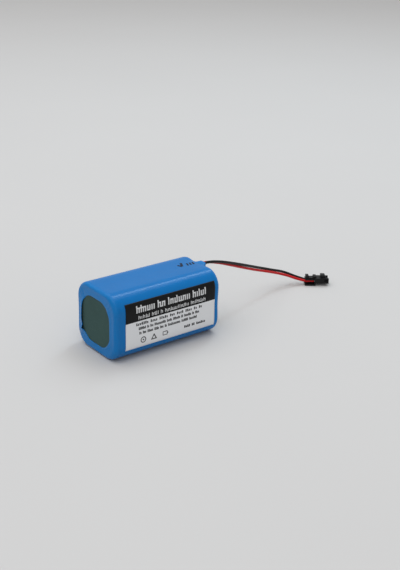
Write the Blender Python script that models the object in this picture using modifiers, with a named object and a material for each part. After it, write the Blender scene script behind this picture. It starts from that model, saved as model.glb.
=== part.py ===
"""Rechargeable battery pack: four round cells in a two-by-two block, shrink-sleeved, with a
protection board at one end and a pair of leads that run to a latching two-way plug.

Frame: +X runs along the cells towards the leads, +Z is up, and the origin is the middle of the
underside of the sleeve. The front of the pack, with its label, faces -Y. Sizes are in metres.
"""

import math

import bmesh
import bpy
from mathutils import Vector

MM = 0.001

# ---------------------------------------------------------------- driving dimensions

# Clearances
FILM_GAP = 0.06 * MM  # between a film and what it wraps
STACK_GAP = 0.10 * MM  # between the flat pieces stacked on the ends of the cells
FIT_GAP = 0.20 * MM  # between a piece and the hole that it goes through
NOTCH_GAP = 0.90 * MM  # between the leads and the notch in the outer insulator

# Cell
CELL_RADIUS = 9.20 * MM  # over its wrap
CELL_HEIGHT = 65.0 * MM  # can bottom to the top of the positive button
CELL_SPACING = 0.20 * MM  # between neighbouring wraps
WRAP_WALL = 0.12 * MM
CAN_WALL = 0.25 * MM
CAP_WALL = 0.30 * MM
BUTTON_RADIUS = 4.0 * MM
BUTTON_RISE = 0.75 * MM  # the button's top over the crimped lip of the can
BEAD_DEPTH = 0.90 * MM  # groove rolled into the can under the gasket
WASHER_THICKNESS = 0.20 * MM
ROLL_BORE = 1.2 * MM  # radius of the hole down the electrode roll
CELL_SIDES = 24  # a multiple of four times CORNER_STEPS, so that the facets lie side by side

# Nickel strip
NICKEL = 0.15 * MM
LINK_WIDTH = 8.0 * MM
LINK_OVERHANG = 4.2 * MM  # past each cell's axis
WELD_SLIT_WIDTH = 0.8 * MM
WELD_SLIT_LENGTH = 4.5 * MM
TAB_WIDTH = 4.0 * MM
TAB_LENGTH = 9.0 * MM

# Protection board and the insulators on either side of it
INSULATOR = 0.30 * MM
BOARD_THICKNESS = 1.0 * MM
BOARD_MARGIN = 2.7 * MM  # from the board to the inside of the sleeve
BOARD_CORNER = 5.0 * MM
PART_HEIGHT = 1.20 * MM  # tallest component on the board
END_PLATE_MARGIN = 1.3 * MM  # from the end insulators to the inside of the sleeve
SENSE_RADIUS = 0.40 * MM
SENSE_OFFSET = 4.6 * MM  # of each sense wire from the middle of the block

# Sleeve
SLEEVE_WALL = 0.25 * MM
SLEEVE_GAP = 0.20 * MM  # room for the fibre tape under it
RIM_RADIUS = 1.6 * MM  # where the film turns over the end of the block
FOLD_DEPTH = 5.1 * MM  # from the sleeve's side to the edge of the window
WINDOW_CORNER = 7.6 * MM
SPOUT_REACH = 1.6 * MM  # how far the film stands out where the leads push through it
SPOUT_HALF_WIDTH = 2.2 * MM
SPOUT_SHOULDER = 6.5 * MM
CORNER_STEPS = 6
FLAT_STEPS = 8
RIM_STEPS = 3
FOLD_STEPS = 3

# Fibre tape and adhesive beads
TAPE_WALL = 0.07 * MM
TAPE_WIDTH = 20.0 * MM
BEAD_LENGTH = 30.0 * MM
BEAD_HALF_WIDTH = 3.0 * MM

# Label
LABEL_LEFT_MARGIN = 6.5 * MM
LABEL_RIGHT_MARGIN = 3.5 * MM
LABEL_BELOW = 12.2 * MM  # of the pack's middle
LABEL_ABOVE = 14.1 * MM
LABEL_WALL = 0.12 * MM
LABEL_EDGE_STEPS = 5

# Leads
LEAD_RADIUS = 0.80 * MM
LEAD_GAP = 0.10 * MM  # between the two leads where they lie side by side
LEAD_EXIT_Y = -1.0 * MM
LEAD_EXIT_DROP = 1.0 * MM  # from the top of the pack to the middle of the leads as they leave
LEAD_BEND = 4.8 * MM  # radius of the turn from the board out through the spout
LEAD_SOLDER_DROP = 5.0 * MM  # straight run up the board before that turn
SOLDER_LENGTH = 2.6 * MM

# Plug, in its own frame: x from the leads' side to the mating face, z up from the surface
PLUG_AHEAD = 91.6 * MM  # of the pack's end, to the middle of the plug's rear edge
PLUG_ASIDE = 6.7 * MM
PLUG_HEADING = math.radians(-36.0)
PLUG_LENGTH = 15.0 * MM
PLUG_WIDTH = 6.0 * MM
PLUG_PITCH = 2.5 * MM
NOSE_START = 6.0 * MM
NOSE_BOTTOM = 1.60 * MM
NOSE_FLOOR = 4.10 * MM  # of the slot along the nose's top that the latch lies in
NOSE_TOP = 5.00 * MM
CAVITY_WIDTH = 1.90 * MM
CAVITY_HEIGHT = 1.70 * MM
FLANGE_LENGTH = 6.8 * MM
FLANGE_TOP = 0.95 * MM
ROOF_GAP = 0.10 * MM  # between a lead and the roof over it
ROOF_WALL = 0.25 * MM
RIB_WIDTH = 0.50 * MM
LANCE_START, LANCE_END = 9.0 * MM, 10.6 * MM  # the windows under the nose, where each contact locks
LANCE_WIDTH = 1.20 * MM
OVERLAP = 0.5 * MM  # by which a shape runs into what it is joined to or cut from
CRIMP_START = 5.9 * MM  # the rear of each contact, from the rear of the plug
CONTACT_SETBACK = 1.2 * MM  # from the mating face to the contacts
BARREL_LENGTH = 2.0 * MM
BARREL_WIDTH = 1.20 * MM
PIN_DEPTH = 5.0 * MM
PIN_WIDTH = 0.90 * MM
HINGE_X = 6.05 * MM  # the latch rocks about a web at its middle
HINGE_WEB = 0.80 * MM  # length of that web along the plug
HINGE_GAP = 0.10 * MM
LATCH_GAP = 0.50 * MM  # between the latch and the slot's floor, or the roof if that is higher
LATCH_WALL = 0.45 * MM
LATCH_WIDTH = 3.8 * MM
LATCH_REAR = 0.30 * MM
LATCH_FRONT = 13.6 * MM
LATCH_TOP = 6.95 * MM  # over its hook
PAD_DROP = 0.55 * MM  # from the top of the hook to the top of the thumb pad
BUMP_DROP = 0.90 * MM

# ---------------------------------------------------------------- derived layout

CELL_PITCH = 2 * CELL_RADIUS + CELL_SPACING
CAN_RADIUS = CELL_RADIUS - WRAP_WALL - FILM_GAP
SLEEVE_INNER = CELL_PITCH / 2 + CELL_RADIUS + SLEEVE_GAP
HALF = SLEEVE_INNER + SLEEVE_WALL
CENTRE_Z = HALF
SLEEVE_CORNER = CELL_RADIUS + SLEEVE_GAP + SLEEVE_WALL
WRAP_END = FILM_GAP + WRAP_WALL  # the wrap's fold beyond the can bottom
BLOCK_LENGTH = CELL_HEIGHT + WRAP_END

LEFT_STACK = STACK_GAP + NICKEL + STACK_GAP + INSULATOR + STACK_GAP + SLEEVE_WALL
BOARD_STACK = STACK_GAP + NICKEL + STACK_GAP + INSULATOR + STACK_GAP + BOARD_THICKNESS
RIGHT_STACK = BOARD_STACK + PART_HEIGHT + 2 * STACK_GAP + INSULATOR + STACK_GAP + SLEEVE_WALL
PACK_LENGTH = LEFT_STACK + BLOCK_LENGTH + RIGHT_STACK

LEFT_X = -PACK_LENGTH / 2
RIGHT_X = PACK_LENGTH / 2
CELLS_LEFT = LEFT_X + LEFT_STACK
CELLS_RIGHT = CELLS_LEFT + BLOCK_LENGTH
LEFT_NICKEL_X = CELLS_LEFT - STACK_GAP - NICKEL / 2
RIGHT_NICKEL_X = CELLS_RIGHT + STACK_GAP + NICKEL / 2
LEFT_PLATE_X = CELLS_LEFT - STACK_GAP - NICKEL - STACK_GAP - INSULATOR / 2
INNER_PLATE_X = RIGHT_NICKEL_X + NICKEL / 2 + STACK_GAP + INSULATOR / 2
BOARD_FACE = CELLS_RIGHT + BOARD_STACK
BOARD_X = BOARD_FACE - BOARD_THICKNESS / 2
OUTER_PLATE_X = BOARD_FACE + STACK_GAP + PART_HEIGHT + STACK_GAP + INSULATOR / 2
END_PLATE_SIDE = 2 * (SLEEVE_INNER - END_PLATE_MARGIN)
END_PLATE_CORNER = SLEEVE_CORNER - SLEEVE_WALL - END_PLATE_MARGIN
BOARD_SIDE = 2 * (SLEEVE_INNER - BOARD_MARGIN)

LEAD_EXIT_Z = 2 * HALF - LEAD_EXIT_DROP
LEAD_SIDE = LEAD_RADIUS + LEAD_GAP / 2  # half the distance between the leads' middles
LEAD_X = BOARD_FACE + STACK_GAP + LEAD_RADIUS
LEAD_START_Z = LEAD_EXIT_Z - LEAD_BEND - LEAD_SOLDER_DROP

PLUG_REAR = Vector((RIGHT_X + PLUG_AHEAD, PLUG_ASIDE, 0))
CAVITY_Z = (NOSE_BOTTOM + NOSE_FLOOR) / 2
ROOF_BOTTOM = CAVITY_Z + LEAD_RADIUS + ROOF_GAP
ROOF_TOP = ROOF_BOTTOM + ROOF_WALL
LATCH_BOTTOM = max(NOSE_FLOOR, ROOF_TOP) + LATCH_GAP

CELLS = (
    # number, y side, z side, and whether the positive end is at +X
    (1, -1, 1, True),
    (2, 1, 1, False),
    (3, 1, -1, True),
    (4, -1, -1, False),
)

# The middle of the pair of leads from the end of the turn to the plug, in millimetres: how far
# ahead of the pack's end, y, and height for leads that leave at a height of ROUTE_TOP. It leaves the
# spout level, droops in one easy bow and comes down to the surface by the plug.
ROUTE_TOP = 36.9 * MM
LEAD_ROUTE = (
    (8.0, -0.7, 36.2),
    (14.5, 0.1, 34.3),
    (21.5, 1.2, 31.7),
    (29.5, 3.0, 28.4),
    (39.0, 5.2, 24.4),
    (49.0, 7.6, 20.2),
    (59.0, 9.9, 16.2),
    (68.0, 11.6, 12.6),
    (75.5, 12.4, 9.7),
    (81.5, 12.1, 7.1),
    (86.5, 10.1, 4.7),
)
LEAD_POINTS = 38  # of each lead's tube, about two diameters apart
# Where along the leads' length, as shares of it, the pair turns and parts
TWIST_START, TWIST_END = 0.02, 0.95
PART_AT, PART_SPAN, PART_WIDTH = 0.83, 0.08, 0.60 * MM
ENTRY_START = 0.86


# ---------------------------------------------------------------- scene, materials, helpers


def clear_scene():
    for item in list(bpy.data.objects):
        bpy.data.objects.remove(item)


def collection(name):
    made = bpy.data.collections.new(name)
    bpy.context.scene.collection.children.link(made)
    return made


clear_scene()
PACK = collection("battery_pack")
CUTTERS = collection("cutters")


def material(name, colour, roughness, metallic=0.0):
    made = bpy.data.materials.new(name)
    made.use_nodes = True
    shader = made.node_tree.nodes["Principled BSDF"]
    shader.inputs["Base Color"].default_value = (*colour, 1.0)
    shader.inputs["Roughness"].default_value = roughness
    shader.inputs["Metallic"].default_value = metallic
    return made


BLUE_FILM = material("blue_film", (0.02, 0.20, 0.60), 0.35)
GREEN_BOARD = material("insulating_board", (0.05, 0.12, 0.09), 0.85)
LABEL_STOCK = material("label_stock", (0.55, 0.57, 0.58), 0.55)
CAN_STEEL = material("nickel_plated_steel", (0.62, 0.60, 0.56), 0.30, 1.0)
NICKEL_STRIP = material("nickel_strip", (0.66, 0.63, 0.58), 0.35, 1.0)
CELL_WRAP = material("cell_wrap", (0.30, 0.62, 0.50), 0.35)
GASKET = material("gasket", (0.80, 0.80, 0.76), 0.55)
WASHER = material("paper_washer", (0.75, 0.76, 0.70), 0.90)
ELECTRODE = material("electrode_roll", (0.10, 0.10, 0.11), 0.60, 0.4)
SOLDER_MASK = material("solder_mask", (0.01, 0.13, 0.05), 0.40)
CHIP_RESIN = material("chip_resin", (0.02, 0.02, 0.022), 0.55)
CHIP_CERAMIC = material("chip_ceramic", (0.75, 0.76, 0.70), 0.50)
SOLDER = material("solder", (0.70, 0.70, 0.72), 0.30, 1.0)
TAPE = material("fibre_tape", (0.62, 0.52, 0.22), 0.45)
ADHESIVE = material("adhesive", (0.80, 0.80, 0.78), 0.45)
BLACK_LEAD = material("black_lead", (0.008, 0.008, 0.009), 0.45)
RED_LEAD = material("red_lead", (0.42, 0.010, 0.012), 0.42)
SENSE_LEAD = material("sense_lead", (0.75, 0.72, 0.10), 0.50)
PLUG_NYLON = material("plug_nylon", (0.010, 0.010, 0.011), 0.50)
CONTACT_TIN = material("contact_tin", (0.72, 0.70, 0.66), 0.30, 1.0)


def add(name, data, finish, place=(0, 0, 0), turn=(0, 0, 0), parent=None, home=PACK):
    """A named object with its material, at a place and rotation."""
    made = bpy.data.objects.new(name, data)
    home.objects.link(made)
    if finish is not None and not data.materials:
        data.materials.append(finish)
    made.location = place
    made.rotation_euler = turn
    made.parent = parent
    return made


def turned_mesh(name, outline):
    """The edges of a profile in the XZ plane, for a Screw modifier to turn about Z.
    The points run down the profile's outer side; an outline that starts off the axis is closed."""
    mesh = bpy.data.meshes.new(name)
    edges = [(i, i + 1) for i in range(len(outline) - 1)]
    if outline[0][0] > 0:
        edges.append((len(outline) - 1, 0))
    mesh.from_pydata([(r, 0, z) for r, z in outline], edges, [])
    return mesh


def turned(name, mesh, finish, place, turn):
    made = add(name, mesh, finish, place, turn)
    screw = made.modifiers.new("turn", "SCREW")
    screw.steps = screw.render_steps = CELL_SIDES
    screw.use_merge_vertices = True
    screw.merge_threshold = 0.00001
    return made


def rounded_rectangle(width, height, radius, middle=(0.0, 0.0), steps=5):
    """The points of a rectangle with rounded corners, anticlockwise."""
    points = []
    for quarter, (side_u, side_v) in enumerate(((1, 1), (-1, 1), (-1, -1), (1, -1))):
        corner_u = middle[0] + side_u * (width / 2 - radius)
        corner_v = middle[1] + side_v * (height / 2 - radius)
        for step in range(steps + 1):
            angle = math.radians(90 * (quarter + step / steps))
            points.append((corner_u + radius * math.cos(angle), corner_v + radius * math.sin(angle)))
    return points


def circle(radius, middle, steps=16):
    angles = [2 * math.pi * i / steps for i in range(steps)]
    return [(middle[0] + radius * math.cos(a), middle[1] + radius * math.sin(a)) for a in angles]


ACROSS_X = (math.radians(90), 0, math.radians(90))  # a flat outline's u, v and depth become Y, Z and X


def plate(name, loops, thickness, finish, place, turn=ACROSS_X, parent=None):
    """A flat outline, with its holes as further loops, given a thickness."""
    outline = bpy.data.curves.new(name, "CURVE")
    outline.dimensions = "2D"
    outline.fill_mode = "BOTH"
    outline.extrude = thickness / 2
    for loop in loops:
        spline = outline.splines.new("POLY")
        spline.points.add(len(loop) - 1)
        for point, (u, v) in zip(spline.points, loop):
            point.co = (u, v, 0, 1)
        spline.use_cyclic_u = True
    return add(name, outline, finish, place, turn, parent)


def block_mesh(name, low, high):
    """A box between two corners."""
    mesh = bpy.data.meshes.new(name)
    shape = bmesh.new()
    bmesh.ops.create_cube(shape, size=1.0)
    size = Vector(high) - Vector(low)
    middle = (Vector(high) + Vector(low)) / 2
    bmesh.ops.scale(shape, vec=size, verts=shape.verts)
    bmesh.ops.translate(shape, vec=middle, verts=shape.verts)
    shape.to_mesh(mesh)
    shape.free()
    return mesh


def boolean(target, tool, operation):
    modifier = target.modifiers.new(tool.name, "BOOLEAN")
    modifier.operation = operation
    modifier.object = tool
    modifier.solver = "EXACT"


def tool(name, mesh, parent=None):
    """A shape that is cut from, or joined to, another and isn't a part itself."""
    made = add(name, mesh, None, parent=parent, home=CUTTERS)
    made.hide_render = True
    made.display_type = "WIRE"
    return made


def tube(name, points, radius, finish):
    """A round wire through its points."""
    line = bpy.data.curves.new(name, "CURVE")
    line.dimensions = "3D"
    line.bevel_depth = radius
    line.bevel_resolution = 2
    line.use_fill_caps = True
    spline = line.splines.new("POLY")
    spline.points.add(len(points) - 1)
    for point, place in zip(spline.points, points):
        point.co = (*place, 1)
    return add(name, line, finish)


# ---------------------------------------------------------------- cells

LIP_TOP = CELL_HEIGHT - BUTTON_RISE
LIP_RADIUS = CAN_RADIUS - 1.8 * MM
BORE = CAN_RADIUS - CAN_WALL
BEAD_Z = LIP_TOP - 3.3 * MM
BEAD_HALF = 0.25 * MM
BEAD_SLOPE = 0.85 * MM
CRIMP = 0.55 * MM  # size of the rounded shoulder over the gasket
FLANGE_Z = LIP_TOP - CAN_WALL - 0.85 * MM  # underside of the cap's flange
FLANGE_RADIUS = BORE - 0.70 * MM
GASKET_LIP = LIP_RADIUS - 0.20 * MM


def can_outline():
    """A deep-drawn cup, beaded under the gasket and crimped over it."""
    foot = 0.8 * MM
    return [
        (0.0, CAN_WALL),
        (BORE - foot, CAN_WALL),
        (BORE, CAN_WALL + foot),
        (BORE, BEAD_Z - BEAD_HALF - BEAD_SLOPE),
        (BORE - BEAD_DEPTH, BEAD_Z - BEAD_HALF),
        (BORE - BEAD_DEPTH, BEAD_Z + BEAD_HALF),
        (BORE, BEAD_Z + BEAD_HALF + BEAD_SLOPE),
        (BORE, LIP_TOP - CAN_WALL - CRIMP),
        (BORE - CRIMP, LIP_TOP - CAN_WALL),
        (LIP_RADIUS, LIP_TOP - CAN_WALL),
        (LIP_RADIUS, LIP_TOP),
        (CAN_RADIUS - CRIMP, LIP_TOP),
        (CAN_RADIUS, LIP_TOP - CRIMP),
        (CAN_RADIUS, BEAD_Z + BEAD_HALF + BEAD_SLOPE),
        (CAN_RADIUS - BEAD_DEPTH, BEAD_Z + BEAD_HALF),
        (CAN_RADIUS - BEAD_DEPTH, BEAD_Z - BEAD_HALF),
        (CAN_RADIUS, BEAD_Z - BEAD_HALF - BEAD_SLOPE),
        (CAN_RADIUS, foot),
        (CAN_RADIUS - foot, 0.0),
        (0.0, 0.0),
    ]


def cap_outline():
    """A stamped cap: a raised button on a flange that the gasket grips."""
    slope = 0.6 * MM
    return [
        (0.0, CELL_HEIGHT),
        (BUTTON_RADIUS, CELL_HEIGHT),
        (BUTTON_RADIUS + slope, FLANGE_Z + CAP_WALL),
        (FLANGE_RADIUS, FLANGE_Z + CAP_WALL),
        (FLANGE_RADIUS, FLANGE_Z),
        (BUTTON_RADIUS + slope - CAP_WALL, FLANGE_Z),
        (BUTTON_RADIUS - CAP_WALL, CELL_HEIGHT - CAP_WALL),
        (0.0, CELL_HEIGHT - CAP_WALL),
    ]


def gasket_outline():
    """A C-shaped ring around the edge of the cap's flange."""
    top = LIP_TOP - CAN_WALL - STACK_GAP
    wall = BORE - FIT_GAP
    lower = FLANGE_Z - STACK_GAP
    foot = BEAD_Z + BEAD_HALF + BEAD_SLOPE
    return [
        (GASKET_LIP, top),
        (wall - CRIMP, top),
        (wall, top - CRIMP),
        (wall, foot),
        (GASKET_LIP, foot),
        (GASKET_LIP, lower),
        (FLANGE_RADIUS + STACK_GAP, lower),
        (FLANGE_RADIUS + STACK_GAP, FLANGE_Z + CAP_WALL + STACK_GAP),
        (GASKET_LIP, FLANGE_Z + CAP_WALL + STACK_GAP),
    ]


def ring_outline(inner, outer, low, high):
    return [(inner, high), (outer, high), (outer, low), (inner, low)]


def wrap_outline():
    """A heat-shrunk film whose ends fold over the can's bottom and the washer."""
    inside = CELL_RADIUS - WRAP_WALL
    top = LIP_TOP + STACK_GAP + WASHER_THICKNESS + FILM_GAP
    turn = 0.25 * MM
    fold = CELL_RADIUS - 1.7 * MM
    return [
        (fold, top + WRAP_WALL),
        (CELL_RADIUS - turn, top + WRAP_WALL),
        (CELL_RADIUS, top + WRAP_WALL - turn),
        (CELL_RADIUS, turn - WRAP_END),
        (CELL_RADIUS - turn, -WRAP_END),
        (fold, -WRAP_END),
        (fold, -FILM_GAP),
        (inside - turn / 2, -FILM_GAP),
        (inside, turn / 2 - FILM_GAP),
        (inside, top - turn / 2),
        (inside - turn / 2, top),
        (fold, top),
    ]


def make_cells():
    washer_low = LIP_TOP + STACK_GAP
    washer = ring_outline(BUTTON_RADIUS + 0.9 * MM, CAN_RADIUS - CRIMP, washer_low, washer_low + WASHER_THICKNESS)
    roll_top = BEAD_Z - BEAD_HALF - BEAD_SLOPE - 0.9 * MM
    roll = ring_outline(ROLL_BORE, BORE - FIT_GAP, CAN_WALL + 0.9 * MM, roll_top)
    pieces = (
        ("can", can_outline(), CAN_STEEL),
        ("cap", cap_outline(), CAN_STEEL),
        ("gasket", gasket_outline(), GASKET),
        ("washer", washer, WASHER),
        ("electrode_roll", roll, ELECTRODE),
        ("wrap", wrap_outline(), CELL_WRAP),
    )
    meshes = [(piece, turned_mesh("cell_" + piece, outline), finish) for piece, outline, finish in pieces]
    for number, side_y, side_z, positive_right in CELLS:
        y = side_y * CELL_PITCH / 2
        z = CENTRE_Z + side_z * CELL_PITCH / 2
        # Local +Z, from the can's bottom to the button, is turned to +X or to -X.
        x = CELLS_LEFT + WRAP_END if positive_right else CELLS_RIGHT - WRAP_END
        turn = (0, math.radians(90 if positive_right else -90), 0)
        for piece, mesh, finish in meshes:
            turned(f"cell_{number}_{piece}", mesh, finish, (x, y, z), turn)


# ---------------------------------------------------------------- nickel strips


def link_loops(length):
    """A strip between two cells with a welding slit at each end."""
    half = length / 2
    loops = [rounded_rectangle(length, LINK_WIDTH, 1.2 * MM, steps=3)]
    for side in (-1, 1):
        middle = side * (half - 1.0 * MM - WELD_SLIT_LENGTH / 2)
        loops.append(rounded_rectangle(WELD_SLIT_LENGTH, WELD_SLIT_WIDTH, 0.35 * MM, (middle, 0.0), 2))
    return loops


def make_links():
    length = CELL_PITCH + 2 * LINK_OVERHANG
    upper = CENTRE_Z + CELL_PITCH / 2
    lower = CENTRE_Z - CELL_PITCH / 2
    plate("link_cells_1_2", link_loops(length), NICKEL, NICKEL_STRIP, (LEFT_NICKEL_X, 0, upper))
    plate("link_cells_3_4", link_loops(length), NICKEL, NICKEL_STRIP, (LEFT_NICKEL_X, 0, lower))
    upright = (0, math.radians(90), 0)  # the strip's length becomes Z
    place = (RIGHT_NICKEL_X, CELL_PITCH / 2, CENTRE_Z)
    plate("link_cells_2_3", link_loops(length), NICKEL, NICKEL_STRIP, place, upright)


def tab_places():
    """Where each tab of nickel stands up through the insulator and the board: y and z."""
    y = -CELL_PITCH / 2 + TAB_LENGTH / 2
    return {
        "tab_positive": (y, CENTRE_Z + CELL_PITCH / 2),
        "tab_negative": (y, CENTRE_Z - CELL_PITCH / 2),
    }


def make_tabs():
    """Each tab lies on a cell's terminal and turns up through the board to its outer face."""
    for name, (y, z) in tab_places().items():
        low_x = RIGHT_NICKEL_X - NICKEL / 2
        flat = block_mesh(name, (low_x, y - TAB_LENGTH, z - TAB_WIDTH), (low_x + NICKEL, y, z + TAB_WIDTH))
        tab = add(name, flat, NICKEL_STRIP)
        rise = (BOARD_FACE + 0.3 * MM, y, z + TAB_WIDTH / 2)
        blade = block_mesh(name + "_blade", (low_x, y - NICKEL, z - TAB_WIDTH / 2), rise)
        boolean(tab, tool(name + "_blade", blade), "UNION")


# ---------------------------------------------------------------- end plates and the board


def slot_loops():
    """The slots that the tabs stand in, with clearance."""
    loops = []
    for y, z in tab_places().values():
        size = (NICKEL + 2 * FIT_GAP, TAB_WIDTH + 2 * FIT_GAP)
        loops.append(rounded_rectangle(*size, 0.15 * MM, (y - NICKEL / 2, z - CENTRE_Z), 2))
    return loops


def sense_holes():
    radius = SENSE_RADIUS + FIT_GAP
    return [circle(radius, (0.0, side * SENSE_OFFSET), 12) for side in (-1, 1)]


def notched_plate_loop():
    """The outer insulator's outline, with a notch in its top edge for the leads."""
    half = END_PLATE_SIDE / 2
    radius = END_PLATE_CORNER
    notch = LEAD_SIDE + LEAD_RADIUS + NOTCH_GAP
    bottom = LEAD_START_Z - SOLDER_LENGTH - CENTRE_Z - 1.0 * MM
    points = []
    for point in rounded_rectangle(2 * half, 2 * half, radius, steps=5):
        points.append(point)
        if len(points) == 6:  # the end of the first corner, at the start of the top edge
            right = LEAD_EXIT_Y + notch
            left = LEAD_EXIT_Y - notch
            points += [(right, half), (right, bottom), (left, bottom), (left, half)]
    return points


def make_end_plates():
    whole = rounded_rectangle(END_PLATE_SIDE, END_PLATE_SIDE, END_PLATE_CORNER)
    plate("left_end_insulator", [whole], INSULATOR, GREEN_BOARD, (LEFT_PLATE_X, 0, CENTRE_Z))
    inner = [whole, *slot_loops(), *sense_holes()]
    plate("right_inner_insulator", inner, INSULATOR, GREEN_BOARD, (INNER_PLATE_X, 0, CENTRE_Z))
    outer = [notched_plate_loop()]
    plate("right_outer_insulator", outer, INSULATOR, GREEN_BOARD, (OUTER_PLATE_X, 0, CENTRE_Z))


def make_board():
    outline = rounded_rectangle(BOARD_SIDE, BOARD_SIDE, BOARD_CORNER)
    loops = [outline, *slot_loops(), *sense_holes()]
    plate("protection_board", loops, BOARD_THICKNESS, SOLDER_MASK, (BOARD_X, 0, CENTRE_Z))


def make_board_parts():
    """Components on the board's outer face: name, y and z from its middle, width, depth and height,
    all in millimetres."""
    parts = (
        ("mosfet_1", 8.5, 5.5, 5.0, 4.0, 1.10, CHIP_RESIN),
        ("mosfet_2", 8.5, 0.0, 5.0, 4.0, 1.10, CHIP_RESIN),
        ("mosfet_3", 8.5, -5.5, 5.0, 4.0, 1.10, CHIP_RESIN),
        ("protection_chip", -3.2, -3.2, 4.4, 5.0, 1.15, CHIP_RESIN),
        ("shunt_resistor_1", -9.2, 2.5, 6.3, 3.2, 0.60, CHIP_RESIN),
        ("shunt_resistor_2", -9.2, -2.0, 6.3, 3.2, 0.60, CHIP_RESIN),
        ("filter_capacitor", 3.0, -11.0, 3.2, 1.6, 1.00, CHIP_CERAMIC),
    )
    for name, y, z, width, depth, height, finish in parts:
        size = Vector((height - STACK_GAP / MM, width, depth)) * MM
        foot = Vector((BOARD_FACE + STACK_GAP, y * MM, CENTRE_Z + z * MM))
        low = foot - Vector((0, size.y / 2, size.z / 2))
        part = add(name, block_mesh(name, low, low + size), finish)
        edge = part.modifiers.new("edge", "BEVEL")
        edge.width = 0.12 * MM
        edge.segments = 1


def make_sense_wires():
    """Insulated taps from the left links to the board, down the gap between the four cells."""
    start = LEFT_NICKEL_X + NICKEL / 2 + STACK_GAP
    end = BOARD_FACE + 0.2 * MM
    for name, side in (("sense_wire_upper", 1), ("sense_wire_lower", -1)):
        z = CENTRE_Z + side * SENSE_OFFSET
        tube(name, [(start, 0, z), (end, 0, z)], SENSE_RADIUS, SENSE_LEAD)


# ---------------------------------------------------------------- tape, adhesive, sleeve, label


def make_tape():
    """A band of fibre tape around the four cells."""
    inner = CELL_PITCH / 2 + CELL_RADIUS + FILM_GAP
    radius = CELL_RADIUS + FILM_GAP
    outer = inner + TAPE_WALL
    loops = [
        rounded_rectangle(2 * outer, 2 * outer, radius + TAPE_WALL, steps=CORNER_STEPS),
        rounded_rectangle(2 * inner, 2 * inner, radius, steps=CORNER_STEPS),
    ]
    middle = (CELLS_LEFT + CELLS_RIGHT) / 2
    plate("fibre_tape", loops, TAPE_WIDTH, TAPE, (middle, 0, CENTRE_Z))


def bead_loop(quarter):
    """The valley between two neighbouring cells, filled to just under the tape."""
    reach = CELL_RADIUS + STACK_GAP
    axis = CELL_PITCH / 2
    top = axis + CELL_RADIUS - 0.15 * MM
    foot = 0.8 * MM  # half-width of the bead at its foot
    steps = 5
    side = []
    for step in range(steps + 1):
        u = foot + (BEAD_HALF_WIDTH - foot) * step / steps
        side.append((u, axis + math.sqrt(reach**2 - (axis - u) ** 2)))
    loop = side + [(BEAD_HALF_WIDTH, top), (-BEAD_HALF_WIDTH, top)] + [(-u, v) for u, v in side[::-1]]
    for _ in range(quarter):
        loop = [(-v, u) for u, v in loop]
    return loop


def make_beads():
    """Four beads of adhesive, one along each outer valley of the block."""
    middle = (CELLS_LEFT + CELLS_RIGHT) / 2
    for quarter, name in enumerate(("top", "front", "bottom", "back")):
        plate(f"adhesive_bead_{name}", [bead_loop(quarter)], BEAD_LENGTH, ADHESIVE, (middle, 0, CENTRE_Z))


def section(half, corner):
    """One ring of the sleeve: y and z of a square with round corners, from the front of the top
    edge round by the back. Every ring has the same number of points, so that they join up."""
    points = []
    for quarter, (side_y, side_z) in enumerate(((1, 1), (-1, 1), (-1, -1), (1, -1))):
        middle_y = side_y * (half - corner)
        middle_z = side_z * (half - corner)
        for step in range(CORNER_STEPS + 1):
            angle = math.radians(90 * (quarter + step / CORNER_STEPS))
            points.append((middle_y + corner * math.cos(angle), middle_z + corner * math.sin(angle)))
        ahead = math.radians(90 * (quarter + 1))
        start = points[-1]
        run = 2 * (half - corner)
        along = (-math.sin(ahead), math.cos(ahead))
        for step in range(1, FLAT_STEPS):
            share = run * step / FLAT_STEPS
            points.append((start[0] + along[0] * share, start[1] + along[1] * share))
    return points


def smooth(value):
    value = min(1.0, max(0.0, value))
    return value * value * (3 - 2 * value)


def spout_share(y, z):
    """1 where the film stands out over the leads, falling to 0 along the fold on either side."""
    if z < 0.5 * HALF:
        return 0.0
    away = abs(y - LEAD_EXIT_Y) - SPOUT_HALF_WIDTH
    return 1 - smooth(away / (SPOUT_SHOULDER - SPOUT_HALF_WIDTH))


def end_rings(outer_x, direction, spout):
    """The rings from the start of the rim to the edge of the window, as x, y and z from the middle."""
    body = section(HALF, SLEEVE_CORNER)
    rings = []
    for step in range(RIM_STEPS + 1):
        angle = math.radians(90 * step / RIM_STEPS)
        inset = RIM_RADIUS * (1 - math.cos(angle))
        x = outer_x - direction * RIM_RADIUS * (1 - math.sin(angle))
        rings.append([(x, y, z) for y, z in section(HALF - inset, SLEEVE_CORNER - inset)])
    for step in range(1, FOLD_STEPS + 1):
        share = step / FOLD_STEPS
        inset = RIM_RADIUS + (FOLD_DEPTH - RIM_RADIUS) * share
        start = SLEEVE_CORNER - RIM_RADIUS
        corner = start + (WINDOW_CORNER - start) * share
        rings.append([(outer_x, y, z) for y, z in section(HALF - inset, corner)])
    if not spout:
        return rings
    bent = []
    for step, ring in enumerate(rings):
        run = step / (len(rings) - 1)
        bent.append([])
        for (x, y, z), (body_y, body_z) in zip(ring, body):
            share = spout_share(body_y, body_z)
            out_x = outer_x - RIM_RADIUS + (RIM_RADIUS + SPOUT_REACH) * run
            out_z = body_z - 0.25 * MM * run * run
            place = (
                x + (out_x - x) * share,
                y + (body_y - y) * share,
                z + (out_z - z) * share,
            )
            bent[-1].append(place)
    return bent


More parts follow.
